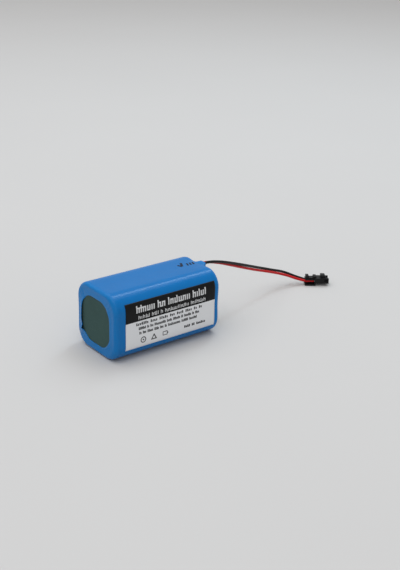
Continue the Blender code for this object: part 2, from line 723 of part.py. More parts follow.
def make_sleeve():
    """The shrink sleeve: rings lofted from window to window, with a wall added inwards."""
    left = end_rings(LEFT_X, -1, spout=False)
    right = end_rings(RIGHT_X, 1, spout=True)
    rings = left[::-1] + right
    count = len(rings[0])
    verts = [(x, y, z + CENTRE_Z) for ring in rings for x, y, z in ring]
    faces = []
    for r in range(len(rings) - 1):
        for i in range(count):
            j = (i + 1) % count
            faces.append((r * count + i, (r + 1) * count + i, (r + 1) * count + j, r * count + j))
    mesh = bpy.data.meshes.new("outer_sleeve")
    mesh.from_pydata(verts, [], faces)
    shape = bmesh.new()
    shape.from_mesh(mesh)
    bmesh.ops.recalc_face_normals(shape, faces=shape.faces)
    middle = shape.faces[len(shape.faces) // 2]
    if middle.normal.dot(middle.calc_center_median() - Vector((0, 0, CENTRE_Z))) < 0:
        bmesh.ops.reverse_faces(shape, faces=shape.faces)
    shape.to_mesh(mesh)
    shape.free()
    mesh.shade_smooth()
    sleeve = add("outer_sleeve", mesh, BLUE_FILM)
    wall = sleeve.modifiers.new("wall", "SOLIDIFY")
    wall.thickness = SLEEVE_WALL
    wall.offset = -1.0
    wall.use_even_offset = True


def front_edge(reach, off):
    """Points on the sleeve's front, off its surface, from the end of the flat to a distance above
    the pack's middle: how far in front of the middle each is, and how far above it."""
    flat = HALF - SLEEVE_CORNER
    end = math.asin((reach - flat) / SLEEVE_CORNER)
    radius = SLEEVE_CORNER + off
    angles = [end * i / LABEL_EDGE_STEPS for i in range(LABEL_EDGE_STEPS + 1)]
    return [(flat + radius * math.cos(a), flat + radius * math.sin(a)) for a in angles]


def make_label():
    """A sticker on the front face whose upper and lower edges follow the round corners."""
    sides = []
    for off in (FILM_GAP, FILM_GAP + LABEL_WALL):
        above = [(-out, up) for out, up in front_edge(LABEL_ABOVE, off)]
        below = [(-out, -down) for out, down in front_edge(LABEL_BELOW, off)]
        sides.append(below[::-1] + above)
    loop = sides[0] + sides[1][::-1]
    length = PACK_LENGTH - LABEL_LEFT_MARGIN - LABEL_RIGHT_MARGIN
    middle = RIGHT_X - LABEL_RIGHT_MARGIN - length / 2
    plate("rating_label", [loop], length, LABEL_STOCK, (middle, 0, CENTRE_Z))


# ---------------------------------------------------------------- leads


def plug_point(x, y, z):
    """A point of the plug's own frame, in the pack's."""
    cosine, sine = math.cos(PLUG_HEADING), math.sin(PLUG_HEADING)
    return PLUG_REAR + Vector((x * cosine - y * sine, x * sine + y * cosine, z))


LEAD_END = CRIMP_START - FIT_GAP  # from the rear of the plug


def pair_route():
    """The middle of the pair, from the solder joints on the board to the contacts in the plug."""
    route = [Vector((LEAD_X, LEAD_EXIT_Y, LEAD_START_Z + LEAD_SOLDER_DROP * i / 2)) for i in range(3)]
    pivot = Vector((LEAD_X + LEAD_BEND, LEAD_EXIT_Y, LEAD_EXIT_Z - LEAD_BEND))
    for degrees in (22.5, 45.0, 67.5, 90.0):
        angle = math.radians(degrees)
        route.append(pivot + LEAD_BEND * Vector((-math.cos(angle), 0, math.sin(angle))))
    fall = (LEAD_EXIT_Z - CAVITY_Z) / (ROUTE_TOP - CAVITY_Z)
    for ahead, y, z in LEAD_ROUTE:
        route.append(Vector((RIGHT_X + ahead * MM, y * MM, CAVITY_Z + (z * MM - CAVITY_Z) * fall)))
    route += [plug_point(x, 0, CAVITY_Z) for x in (0.0, LEAD_END / 2, LEAD_END)]
    return route


def curve_point(points, at):
    """A point on the Catmull-Rom curve through the points; at runs from 0 to the last index."""
    index = min(int(at), len(points) - 2)
    t = at - index
    before = points[max(index - 1, 0)]
    start, end = points[index], points[index + 1]
    after = points[min(index + 2, len(points) - 1)]
    return 0.5 * (
        2 * start
        + (end - before) * t
        + (2 * before - 5 * start + 4 * end - after) * t**2
        + (3 * start - before - 3 * end + after) * t**3
    )


def lead_points(side):
    """One lead of the pair. It starts beside its neighbour, and the two make a half turn about
    each other on the way, part a little, and close up where they enter the plug."""
    route = pair_route()
    fine = [curve_point(route, i * (len(route) - 1) / 400) for i in range(401)]
    lengths = [0.0]
    for a, b in zip(fine, fine[1:]):
        lengths.append(lengths[-1] + (b - a).length)
    total = lengths[-1]
    points = []
    for i in range(LEAD_POINTS):
        target = total * i / (LEAD_POINTS - 1)
        k = min(max(j for j in range(len(lengths)) if lengths[j] <= target + 1e-9), len(fine) - 2)
        middle = fine[k].lerp(fine[k + 1], (target - lengths[k]) / (lengths[k + 1] - lengths[k]))
        ahead = (fine[k + 1] - fine[k]).normalized()
        level = Vector((0, 0, 1)).cross(ahead) if abs(ahead.z) < 0.9 else Vector((0, 1, 0))
        level.normalize()
        if level.y < 0:
            level.negate()
        up = ahead.cross(level)
        if up.z < 0 or abs(ahead.z) >= 0.9:
            up.negate()
        share = target / total
        # The half turn is even, and it brings the negative lead over the positive one.
        angle = math.pi * min(1.0, max(0.0, (share - TWIST_START) / (TWIST_END - TWIST_START)))
        spread = LEAD_SIDE + PART_WIDTH * math.exp(-(((share - PART_AT) / PART_SPAN) ** 2))
        spread += (PLUG_PITCH / 2 - LEAD_SIDE) * smooth((share - ENTRY_START) / (1 - ENTRY_START) * 1.6)
        points.append(middle + side * spread * (math.cos(angle) * level - math.sin(angle) * up))
    return points


def make_leads():
    tube("lead_negative", lead_points(-1), LEAD_RADIUS, BLACK_LEAD)
    tube("lead_positive", lead_points(1), LEAD_RADIUS, RED_LEAD)
    for name, side in (("solder_joint_negative", -1), ("solder_joint_positive", 1)):
        mesh = bpy.data.meshes.new(name)
        shape = bmesh.new()
        bmesh.ops.create_uvsphere(shape, u_segments=12, v_segments=8, radius=1.0)
        size = (LEAD_RADIUS, LEAD_RADIUS, SOLDER_LENGTH / 2)
        bmesh.ops.scale(shape, vec=size, verts=shape.verts)
        shape.to_mesh(mesh)
        shape.free()
        mesh.shade_smooth()
        z = LEAD_START_Z - STACK_GAP - SOLDER_LENGTH / 2
        add(name, mesh, SOLDER, (LEAD_X, LEAD_EXIT_Y + side * LEAD_SIDE, z))


# ---------------------------------------------------------------- plug


def make_housing(frame):
    """The nylon housing: a nose with two cavities under a slot for the latch, and a rear that is open
    at the sides for the leads."""
    side = PLUG_WIDTH / 2
    slot = LATCH_WIDTH / 2 + FIT_GAP
    nose = block_mesh("plug_housing", (NOSE_START, -side, NOSE_BOTTOM), (PLUG_LENGTH, side, NOSE_FLOOR))
    housing = add("plug_housing", nose, PLUG_NYLON, parent=frame)
    joined = (
        ("near_cheek", (NOSE_START, -side, CAVITY_Z), (PLUG_LENGTH, -slot, NOSE_TOP)),
        ("far_cheek", (NOSE_START, slot, CAVITY_Z), (PLUG_LENGTH, side, NOSE_TOP)),
        ("flange", (0, -side, 0), (FLANGE_LENGTH, side, FLANGE_TOP)),
        ("neck", (NOSE_START, -side, FLANGE_TOP / 2), (FLANGE_LENGTH, side, CAVITY_Z)),
        ("roof", (0, -side, ROOF_BOTTOM), (NOSE_START + OVERLAP, side, ROOF_TOP)),
        (
            "rib",
            (0, -RIB_WIDTH / 2, FLANGE_TOP / 2),
            (NOSE_START + OVERLAP, RIB_WIDTH / 2, (ROOF_BOTTOM + ROOF_TOP) / 2),
        ),
        (
            "hinge_web",
            (HINGE_X - HINGE_WEB / 2, -LATCH_WIDTH / 2, (ROOF_BOTTOM + ROOF_TOP) / 2),
            (HINGE_X + HINGE_WEB / 2, LATCH_WIDTH / 2, LATCH_BOTTOM - HINGE_GAP),
        ),
    )
    for name, low, high in joined:
        boolean(housing, tool("plug_" + name, block_mesh(name, low, high), frame), "UNION")
    for number, way in ((1, -1), (2, 1)):
        y = way * PLUG_PITCH / 2
        low = (NOSE_START - OVERLAP, y - CAVITY_WIDTH / 2, CAVITY_Z - CAVITY_HEIGHT / 2)
        high = (PLUG_LENGTH + OVERLAP, y + CAVITY_WIDTH / 2, CAVITY_Z + CAVITY_HEIGHT / 2)
        boolean(housing, tool(f"plug_cavity_{number}", block_mesh("cavity", low, high), frame), "DIFFERENCE")
        low = (LANCE_START, y - LANCE_WIDTH / 2, NOSE_BOTTOM - OVERLAP)
        high = (LANCE_END, y + LANCE_WIDTH / 2, CAVITY_Z)
        boolean(housing, tool(f"plug_window_{number}", block_mesh("window", low, high), frame), "DIFFERENCE")


def latch_outline():
    """The rocking latch from the side, about its axis: a thumb pad, a bump over the web, a hook."""
    low, high = -LATCH_WALL / 2, LATCH_WALL / 2
    top = LATCH_TOP - LATCH_BOTTOM - LATCH_WALL / 2
    pad_top, bump_top, hook_top = top - PAD_DROP, top - BUMP_DROP, top
    rear, front = LATCH_REAR - HINGE_X, LATCH_FRONT - HINGE_X
    pad_end = rear + 2.0 * MM
    bump = 1.1 * MM
    hook = 3.8 * MM
    return [
        (rear, low),
        (front, low),
        (front, high),
        (hook + 3.3 * MM, high),
        (hook + 2.7 * MM, hook_top - 0.1 * MM),
        (hook, hook_top),
        (hook, high),
        (bump, high),
        (bump - 0.3 * MM, bump_top),
        (0.3 * MM - bump, bump_top),
        (-bump, high),
        (pad_end, high),
        (pad_end - 0.2 * MM, pad_top),
        (rear, pad_top),
    ]


def make_latch(frame):
    """The latch is a springy arm in one with the housing. It is a piece of its own here, with its
    origin on the axis that it rocks about."""
    place = (HINGE_X, 0, LATCH_BOTTOM + LATCH_WALL / 2)
    # The outline's u, v and depth become the plug's x, z and -y.
    plate("plug_latch", [latch_outline()], LATCH_WIDTH, PLUG_NYLON, place, (math.radians(90), 0, 0), frame)


def make_contacts(frame):
    """A crimped socket for each lead: a square tube that takes the pin, and a barrel on the wire."""
    width = CAVITY_WIDTH - 2 * FIT_GAP
    height = CAVITY_HEIGHT - 2 * FIT_GAP - STACK_GAP
    front = PLUG_LENGTH - CONTACT_SETBACK
    box_start = CRIMP_START + BARREL_LENGTH
    for name, way in (("contact_positive", -1), ("contact_negative", 1)):
        y = way * PLUG_PITCH / 2
        low = (box_start, y - width / 2, CAVITY_Z - height / 2)
        high = (front, y + width / 2, CAVITY_Z + height / 2)
        contact = add(name, block_mesh(name, low, high), CONTACT_TIN, parent=frame)
        barrel_low = (CRIMP_START, y - BARREL_WIDTH / 2, CAVITY_Z - BARREL_WIDTH / 2)
        barrel_high = (box_start + OVERLAP, y + BARREL_WIDTH / 2, CAVITY_Z + BARREL_WIDTH / 2)
        barrel = tool(name + "_barrel", block_mesh("barrel", barrel_low, barrel_high), frame)
        boolean(contact, barrel, "UNION")
        bore_low = (front - PIN_DEPTH, y - PIN_WIDTH / 2, CAVITY_Z - PIN_WIDTH / 2)
        bore_high = (front + OVERLAP, y + PIN_WIDTH / 2, CAVITY_Z + PIN_WIDTH / 2)
        bore = tool(name + "_bore", block_mesh("bore", bore_low, bore_high), frame)
        boolean(contact, bore, "DIFFERENCE")


def make_plug():
    frame = bpy.data.objects.new("plug_frame", None)
    PACK.objects.link(frame)
    frame.location = PLUG_REAR
    frame.rotation_euler = (0, 0, PLUG_HEADING)
    make_housing(frame)
    make_latch(frame)
    make_contacts(frame)


# ---------------------------------------------------------------- the whole pack

make_cells()
make_links()
make_tabs()
make_end_plates()
make_board()
make_board_parts()
make_sense_wires()
make_tape()
make_beads()
make_sleeve()
make_label()
make_leads()
make_plug()
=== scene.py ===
# %% [markdown]
# # A shrink-sleeved battery pack
# Four round cells stand in a two-by-two block. A blue film is shrunk over them, a printed label is
# stuck on the front, and a black and a red lead run from the far end to a small latching plug.
# The measured model comes first and is never changed. What shows is made again over it with finer
# surfaces: the film, the label, the left end paper, the leads and the plug.

# %% Load the measured model
import math
import random

import bmesh
import bpy
from mathutils import Matrix, Vector, noise


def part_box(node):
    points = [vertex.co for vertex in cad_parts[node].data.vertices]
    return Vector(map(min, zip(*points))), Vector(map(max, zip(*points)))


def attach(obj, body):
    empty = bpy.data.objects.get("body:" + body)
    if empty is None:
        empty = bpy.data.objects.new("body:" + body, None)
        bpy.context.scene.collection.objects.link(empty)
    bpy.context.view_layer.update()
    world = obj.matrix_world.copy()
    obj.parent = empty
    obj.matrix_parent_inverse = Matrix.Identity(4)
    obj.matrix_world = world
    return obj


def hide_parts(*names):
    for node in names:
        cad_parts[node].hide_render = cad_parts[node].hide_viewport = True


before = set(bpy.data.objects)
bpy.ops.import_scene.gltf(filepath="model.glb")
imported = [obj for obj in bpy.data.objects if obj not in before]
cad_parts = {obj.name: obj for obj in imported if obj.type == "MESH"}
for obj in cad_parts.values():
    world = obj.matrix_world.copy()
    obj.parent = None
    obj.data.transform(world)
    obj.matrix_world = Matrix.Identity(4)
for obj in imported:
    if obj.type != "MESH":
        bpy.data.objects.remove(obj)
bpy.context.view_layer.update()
MM = 0.001


def add_object(name, data):
    made = bpy.data.objects.new(name, data)
    bpy.context.scene.collection.objects.link(made)
    return made


# %% [markdown]
# The sizes that everything else hangs on are read from the model: the two ends of the block and half its
# height. The radius of its long corners is given. The film is a round-cornered square tube, so its surface
# is easiest to describe from the middle line of the pack.

# %% Sizes of the pack
SLEEVE_LOW, SLEEVE_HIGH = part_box("outer_sleeve")
PAPER_GAP = 0.35 * MM  # from an end paper's face to the outside of the film folded over it
LEFT = SLEEVE_LOW.x
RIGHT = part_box("right_outer_insulator")[1].x + PAPER_GAP
HALF = (SLEEVE_HIGH.y - SLEEVE_LOW.y) / 2
FILM_WALL = 0.25 * MM
CORNER = 9.65 * MM
FLAT = HALF - CORNER  # half the flat between two long corners, which is also where a cell's crest lies
CENTRE = Vector((0, 0, HALF))
print("pack from", LEFT, "to", RIGHT, "half height", HALF)

# %% [markdown]
# The camera stands to the front left, a little above the pack, and is rolled by under two degrees. Its
# place and its three axes are written down once, because the leads are laid out to be seen from here.

# %% Camera
AZIMUTH, ELEVATION, ROLL = (math.radians(a) for a in (-38.46, 22.9, 1.66))
camera_data = bpy.data.cameras.new("camera")
camera_data.lens = 63.16
camera_data.sensor_width = 36.0
camera = add_object("camera", camera_data)
backward = Vector((
    math.sin(AZIMUTH) * math.cos(ELEVATION),
    -math.cos(AZIMUTH) * math.cos(ELEVATION),
    math.sin(ELEVATION),
))
level = Vector((math.cos(AZIMUTH), math.sin(AZIMUTH), 0))
upward = backward.cross(level)
across = math.cos(ROLL) * level + math.sin(ROLL) * upward
rise = backward.cross(across)
camera.matrix_world = Matrix((across, rise, backward)).transposed().to_4x4()
camera.location = (-0.2945, -0.4157, 0.2475)
bpy.context.scene.camera = camera

# %% [markdown]
# The two leads are real lengths of wire, so their route is settled before their looks. The middle of
# the pair climbs the board, turns out under the film, droops in one bow to the table and enters the
# plug. The points are a given list, in metres: how far ahead of the pack's end, how far to
# the back, and how high.

# %% Route of the pair of leads
LEAD_RADIUS = 0.8 * MM
LEAD_SIDE = 0.85 * MM  # half the distance between the middles of the two leads
LEAD_BEND = 4.8 * MM
SOLDER_RISE = 5.0 * MM  # straight run up the board before that bend
BOARD_GAP = 0.1 * MM
CONTACT_GAP = 0.2 * MM
EXIT_Y = -1.0 * MM
EXIT_Z = 2 * HALF - 1.0 * MM
LEAD_ROUTE = (
    (0.0080, -0.0007, 0.0362),
    (0.0145, 0.0001, 0.0343),
    (0.0215, 0.0012, 0.0317),
    (0.0295, 0.0030, 0.0284),
    (0.0390, 0.0052, 0.0244),
    (0.0490, 0.0076, 0.0202),
    (0.0590, 0.0099, 0.0162),
    (0.0680, 0.0116, 0.0126),
    (0.0755, 0.0124, 0.0097),
    (0.0815, 0.0121, 0.0071),
    (0.0865, 0.0101, 0.0047),
)
PLUG_REAR = Vector((RIGHT + 0.0916, 0.0067, 0.0))
PLUG_HEADING = math.radians(-36.0)
WIRE_HEIGHT = 2.85 * MM  # of the leads inside the plug
CRIMP_START = 5.9 * MM
PLUG_PLACE = Matrix.Translation(PLUG_REAR) @ Matrix.Rotation(PLUG_HEADING, 4, "Z")


def pair_route():
    """The middle of the pair, from the solder joints to the contacts."""
    board_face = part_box("protection_board")[1].x
    lead_x = board_face + BOARD_GAP + LEAD_RADIUS
    start = EXIT_Z - LEAD_BEND - SOLDER_RISE
    route = [Vector((lead_x, EXIT_Y, start + SOLDER_RISE / 2 * i)) for i in range(3)]
    pivot = Vector((lead_x + LEAD_BEND, EXIT_Y, EXIT_Z - LEAD_BEND))
    for degrees in (22.5, 45.0, 67.5, 90.0):
        angle = math.radians(degrees)
        route.append(pivot + LEAD_BEND * Vector((-math.cos(angle), 0, math.sin(angle))))
    route += [Vector((RIGHT + ahead, y, z)) for ahead, y, z in LEAD_ROUTE]
    end = CRIMP_START - CONTACT_GAP
    route += [PLUG_PLACE @ Vector((x, 0, WIRE_HEIGHT)) for x in (0.0, end / 2, end)]
    return route


def curve_point(points, at):
    """A point on the Catmull-Rom curve through the points; at runs from 0 to the last index."""
    index = min(int(at), len(points) - 2)
    t = at - index
    before, after = points[max(index - 1, 0)], points[min(index + 2, len(points) - 1)]
    start, end = points[index], points[index + 1]
    return 0.5 * (
        2 * start
        + (end - before) * t
        + (2 * before - 5 * start + 4 * end - after) * t**2
        + (3 * start - before - 3 * end + after) * t**3
    )


print("route points:", len(pair_route()))

# %% [markdown]
# Each lead keeps to one side of that middle line. The two make one even half turn about each other,
# which brings the black lead over the red one. They part a little before the plug, and spread to its
# pitch where they go in. A share of the length tells each of these where to happen.

# %% One lead of the pair
TWIST_START, TWIST_END = 0.02, 0.95
PART_AT, PART_SPAN, PART_WIDTH = 0.83, 0.08, 0.60 * MM
ENTRY_START = 0.86
PLUG_PITCH = 2.5 * MM
LEAD_POINTS = 150
FINE_STEPS = 800  # of the route, when its length is measured


def smooth(value):
    value = min(1.0, max(0.0, value))
    return value * value * (3 - 2 * value)


def lead_points(side):
    route = pair_route()
    fine = [curve_point(route, i * (len(route) - 1) / FINE_STEPS) for i in range(FINE_STEPS + 1)]
    lengths = [0.0]
    for a, b in zip(fine, fine[1:]):
        lengths.append(lengths[-1] + (b - a).length)
    total = lengths[-1]
    points = []
    k = 0
    for i in range(LEAD_POINTS):
        target = total * i / (LEAD_POINTS - 1)
        while k < len(fine) - 2 and lengths[k + 1] < target:
            k += 1
        middle = fine[k].lerp(fine[k + 1], (target - lengths[k]) / (lengths[k + 1] - lengths[k]))
        ahead = (fine[k + 1] - fine[k]).normalized()
        steep = abs(ahead.z) >= 0.9
        sideways = Vector((0, 1, 0)) if steep else Vector((0, 0, 1)).cross(ahead).normalized()
        if sideways.y < 0:
            sideways.negate()
        up = ahead.cross(sideways)
        if up.z < 0 or steep:
            up.negate()
        share = target / total
        angle = math.pi * min(1.0, max(0.0, (share - TWIST_START) / (TWIST_END - TWIST_START)))
        spread = LEAD_SIDE + PART_WIDTH * math.exp(-(((share - PART_AT) / PART_SPAN) ** 2))
        spread += (PLUG_PITCH / 2 - LEAD_SIDE) * smooth((share - ENTRY_START) / (1 - ENTRY_START) * 1.6)
        points.append(middle + side * spread * (math.cos(angle) * sideways - math.sin(angle) * up))
    return points


def length_of(points):
    return sum((b - a).length for a, b in zip(points, points[1:]))


print("lead lengths:", length_of(lead_points(-1)), length_of(lead_points(1)))

# %% [markdown]
# Materials are sums of masks. To write them as sums, one small class wraps a node's output, so that
# `a * b + c` adds the Math nodes by itself, and `1 - mask` works too. A second class holds a material
# and has one method that adds any other kind of node.

# %% Shader sums
class Value:
    """A node's output that can be added, subtracted and multiplied."""

    def __init__(self, paint, out):
        self.paint, self.out = paint, out

    def sum(self, operation, *others):
        node = self.paint.tree.nodes.new("ShaderNodeMath")
        node.operation = operation
        for slot, value in zip(node.inputs, others):
            self.paint.feed(slot, value)
        return Value(self.paint, node.outputs[0])

    def __add__(self, other):
        return self.sum("ADD", self, other)

    def __sub__(self, other):
        return self.sum("SUBTRACT", self, other)

    def __rsub__(self, other):
        return self.sum("SUBTRACT", other, self)

    def __mul__(self, other):
        return self.sum("MULTIPLY", self, other)

    def size(self):
        return self.sum("ABSOLUTE", self)

    __radd__ = __add__
    __rmul__ = __mul__


class Paint:
    """A material on one Principled shader."""

    def __init__(self, name, **values):
        self.material = bpy.data.materials.new(name)
        self.material.use_nodes = True
        self.tree = self.material.node_tree
        self.shader = self.tree.nodes["Principled BSDF"]
        self.set(**values)

    def feed(self, slot, value):
        if isinstance(value, Value):
            self.tree.links.new(value.out, slot)
        elif hasattr(value, "__len__") and len(value) == 3 and len(slot.default_value) == 4:
            slot.default_value = (*value, 1.0)
        else:
            slot.default_value = value

    def set(self, **values):
        for key, value in values.items():
            self.feed(self.shader.inputs[key.replace("_", " ")], value)
        return self

    def node(self, kind, settings=None, output=0, **sockets):
        node = self.tree.nodes.new("ShaderNode" + kind)
        for key, value in (settings or {}).items():
            setattr(node, key, value)
        for key, value in sockets.items():
            self.feed(node.inputs[key.replace("_", " ")], value)
        return Value(self, node.outputs[output])

    def place(self):
        return self.node("TexCoord", output=3)

    def axes(self):
        """The three coordinates of the place, in metres."""
        split = self.tree.nodes.new("ShaderNodeSeparateXYZ")
        self.feed(split.inputs[0], self.place())
        return [Value(self, out) for out in split.outputs]

    def stretched(self, scale):
        """The place, stretched along the axes."""
        return self.node("Mapping", Vector=self.place(), Scale=scale)

    def cloud(self, scale, detail=3.0, roughness=0.5, where=None):
        place = where or self.place()
        return self.node("TexNoise", Vector=place, Scale=scale, Detail=detail, Roughness=roughness)

    def spots(self, scale):
        return self.node("TexVoronoi", Vector=self.place(), Scale=scale)

    def ramp(self, value, low, high):
        """0 under low and 1 over high, with a soft step between them."""
        settings = {"interpolation_type": "SMOOTHSTEP"}
        return self.node("MapRange", settings, Value=value, From_Min=low, From_Max=high)

    def mix(self, mask, first, second):
        node = self.tree.nodes.new("ShaderNodeMix")
        node.data_type = "RGBA"
        for index, value in ((0, mask), (6, first), (7, second)):
            self.feed(node.inputs[index], value)
        return Value(self, node.outputs[2])

    def bump(self, height, distance, strength):
        return self.set(Normal=self.node("Bump", Height=height, Distance=distance, Strength=strength))


print("shader classes ready")

# %% [markdown]
# The sleeve is PVC film, drawn as a tube and shrunk with hot air. Its blue is dyed in, so the colour
# barely varies. It is painted a little paler over the rims, a painted highlight for the light that
# catches those edges, and it is slightly darker and duller where it gathered as it shrank. Its gloss
# is soft, with drawing lines along the tube and a faint ripple.

# %% Blue film
def blue_film():
    paint = Paint("blue shrink film", Specular_IOR_Level=0.17, IOR=1.52)
    x = paint.axes()[0]
    mottle = paint.cloud(90.0, 4.0)
    drawn = paint.cloud(900.0, 2.0, where=paint.stretched((0.03, 1.0, 1.0)))
    from_end = ((x - (LEFT + RIGHT) / 2).size() * -1) + (RIGHT - LEFT) / 2
    rim = 1 - paint.ramp(from_end, 0.2 * MM, 3.0 * MM)
    base = paint.mix(mottle, (0.001, 0.138, 0.410), (0.002, 0.160, 0.468))
    # painted highlight: the blue is made paler within a few millimetres of either end, for light on the rims
    rim_painted_highlight = paint.mix(rim * 0.35, base, (0.010, 0.210, 0.560))
    gathered = paint.ramp(paint.cloud(220.0, 5.0), 0.60, 0.80) * rim
    paint.set(Base_Color=paint.mix(gathered * 0.35, rim_painted_highlight, (0.002, 0.095, 0.350)))
    paint.set(Roughness=0.17 + 0.06 * mottle + 0.04 * drawn + 0.08 * gathered)
    ripple = paint.cloud(160.0, 2.0)
    return paint.bump(ripple * 0.8 + drawn * 0.2, 0.06 * MM, 0.5).material


BLUE_FILM = blue_film()
print(BLUE_FILM.name)

# %% [markdown]
# The ends are closed by sheets of fish paper, a dark green insulating board. It is matt and fibrous,
# with short paler fibres lying every way and a broad unevenness from its calendering.

# %% Fish paper
def fish_paper():
    paint = Paint("fish paper", Specular_IOR_Level=0.25)
    broad = paint.cloud(70.0, 3.0)
    fibre = paint.cloud(1500.0, 6.0, 0.7, paint.stretched((1.0, 0.25, 1.0)))
    cross = paint.cloud(1500.0, 6.0, 0.7, paint.stretched((1.0, 1.0, 0.25)))
    ground = paint.mix(broad, (0.030, 0.066, 0.061), (0.048, 0.100, 0.093))
    fibres = paint.ramp(fibre, 0.55, 0.75) + paint.ramp(cross, 0.55, 0.75)
    paint.set(Base_Color=paint.mix(fibres * 0.30, ground, (0.090, 0.150, 0.130)))
    paint.set(Roughness=0.78 + 0.15 * broad)
    return paint.bump(fibre + cross, 0.05 * MM, 0.5).material


FISH_PAPER = fish_paper()
print(FISH_PAPER.name)

# %% [markdown]
# The label is a satin film with a printed face. Stock and inks are one family: the same soft gloss
# and the same tiny orange peel, in different colours. The white ink is greyed by the black band
# under it, and the mark on the sleeve is in a dry ink that took unevenly.

# %% Label stock and inks
def printed(name, colour, other, roughness, patchy=0.0):
    paint = Paint(name, Specular_IOR_Level=0.19)
    broad = paint.cloud(130.0, 3.0)
    fine = paint.cloud(2600.0, 2.0)
    paint.set(Base_Color=paint.mix(broad * 0.5 + fine * 0.5, colour, other))
    paint.set(Roughness=roughness + 0.10 * fine)
    if patchy:
        worn = paint.ramp(paint.cloud(1400.0, 4.0, 0.65), 0.36, 0.50)
        paint.set(Alpha=1 - patchy * (1 - worn))
    return paint.bump(fine, 0.01 * MM, 0.4).material


LABEL_STOCK = printed("label stock", (0.705, 0.716, 0.736), (0.760, 0.771, 0.790), 0.42)
BAND_INK = printed("black band ink", (0.0020, 0.0021, 0.0025), (0.0032, 0.0034, 0.0038), 0.38)
WHITE_INK = printed("white ink", (0.60, 0.61, 0.62), (0.70, 0.71, 0.72), 0.40)
BLACK_INK = printed("black ink", (0.008, 0.008, 0.009), (0.016, 0.016, 0.018), 0.45)
STAMP_INK = printed("stamp ink", (0.004, 0.010, 0.026), (0.008, 0.020, 0.050), 0.50, patchy=0.25)
print("label inks ready")

# %% [markdown]
# The leads have an extruded jacket. An extrusion has faint lines along its length and picks up dust,
# and soft rubber has no sharp glints. The plug is moulded nylon, which is glass-hard to the touch but
# has a fine spark-eroded grain on its faces.

# %% Jackets and mouldings
def jacket(name, colour, dusty, roughness):
    paint = Paint(name, Specular_IOR_Level=0.22)
    dust = paint.ramp(paint.cloud(600.0, 5.0, 0.6), 0.45, 0.80)
    skin = paint.cloud(4000.0, 2.0)
    paint.set(Base_Color=paint.mix(dust * 0.5, colour, dusty))
    paint.set(Roughness=roughness + 0.15 * dust)
    return paint.bump(skin, 0.01 * MM, 0.5).material


def moulded(name, colour, worn, roughness, grain=3200.0, shine=0.5):
    paint = Paint(name, Specular_IOR_Level=shine)
    spark = paint.spots(grain)
    flow = paint.cloud(420.0, 3.0)
    paint.set(Base_Color=paint.mix(flow, colour, worn))
    paint.set(Roughness=roughness + 0.12 * flow)
    return paint.bump(spark, 0.015 * MM, 0.6).material


BLACK_JACKET = jacket("black lead jacket", (0.003, 0.003, 0.0035), (0.007, 0.007, 0.0075), 0.42)
RED_JACKET = jacket("red lead jacket", (0.480, 0.006, 0.008), (0.540, 0.022, 0.022), 0.36)
YELLOW_JACKET = jacket("yellow sense jacket", (0.600, 0.520, 0.040), (0.550, 0.500, 0.120), 0.42)
BLACK_NYLON = moulded("black nylon", (0.0030, 0.0030, 0.0034), (0.0065, 0.0065, 0.0070), 0.42, shine=0.22)
CHIP_RESIN = moulded("chip resin", (0.014, 0.014, 0.015), (0.024, 0.024, 0.025), 0.55, 5000.0)
CHIP_CERAMIC = moulded("chip ceramic", (0.420, 0.330, 0.230), (0.500, 0.400, 0.290), 0.50, 5000.0)
GASKET = moulded("gasket", (0.700, 0.700, 0.660), (0.780, 0.780, 0.740), 0.48)
ADHESIVE = moulded("adhesive", (0.640, 0.640, 0.620), (0.720, 0.720, 0.700), 0.40, 900.0)
print("jackets and mouldings ready")

# %% [markdown]
# Inside the sleeve are metals and films. Nickel strip and drawn steel carry fine parallel scratches
# from rolling or drawing, and solder has soft dull and bright patches where it froze. The scratches
# are one noise, stretched along the direction in which the metal was worked.

# %% Metals
def metal(name, colour, dull, roughness, grain=(1.0, 1.0, 1.0)):
    paint = Paint(name, Metallic=1.0)
    scratch = paint.cloud(2400.0, 4.0, 0.6, paint.stretched(grain))
    stain = paint.ramp(paint.cloud(240.0, 3.0), 0.45, 0.75)
    paint.set(Base_Color=paint.mix(stain, colour, dull))
    paint.set(Roughness=roughness + 0.14 * scratch + 0.10 * stain)
    return paint.bump(scratch, 0.01 * MM, 0.5).material


NICKEL = metal("nickel strip", (0.66, 0.63, 0.57), (0.52, 0.49, 0.44), 0.26, (1.0, 0.05, 1.0))
CAN_STEEL = metal("drawn steel", (0.60, 0.59, 0.56), (0.48, 0.47, 0.45), 0.24, (0.05, 1.0, 1.0))
SOLDER = metal("solder", (0.66, 0.66, 0.67), (0.42, 0.42, 0.43), 0.22)
TIN = metal("tinned contact", (0.68, 0.67, 0.64), (0.55, 0.53, 0.50), 0.24, (0.1, 1.0, 1.0))
COPPER = metal("tinned copper strand", (0.70, 0.62, 0.55), (0.50, 0.38, 0.30), 0.28, (1.0, 1.0, 0.1))
print("metals ready")

# %% [markdown]
# The rest of the inside is film, paper and laminate. The circuit board's lacquer is green over a
# copper pattern, which shows as paler tracks: a grid of soft lines made from a Brick texture.

# %% Films, paper and laminate
def film(name, colour, other, roughness, stripes=None):
    paint = Paint(name, Specular_IOR_Level=0.5)
    broad = paint.cloud(150.0, 3.0)
    tone = paint.mix(broad, colour, other)
    if stripes:
        fibres = paint.node("TexWave", {"bands_direction": "X"}, Scale=stripes, Distortion=0.4)
        tone = paint.mix(fibres * 0.35, tone, (0.80, 0.74, 0.52))
    paint.set(Base_Color=tone, Roughness=roughness + 0.10 * broad)
    return paint.bump(paint.cloud(700.0, 2.0), 0.02 * MM, 0.4).material


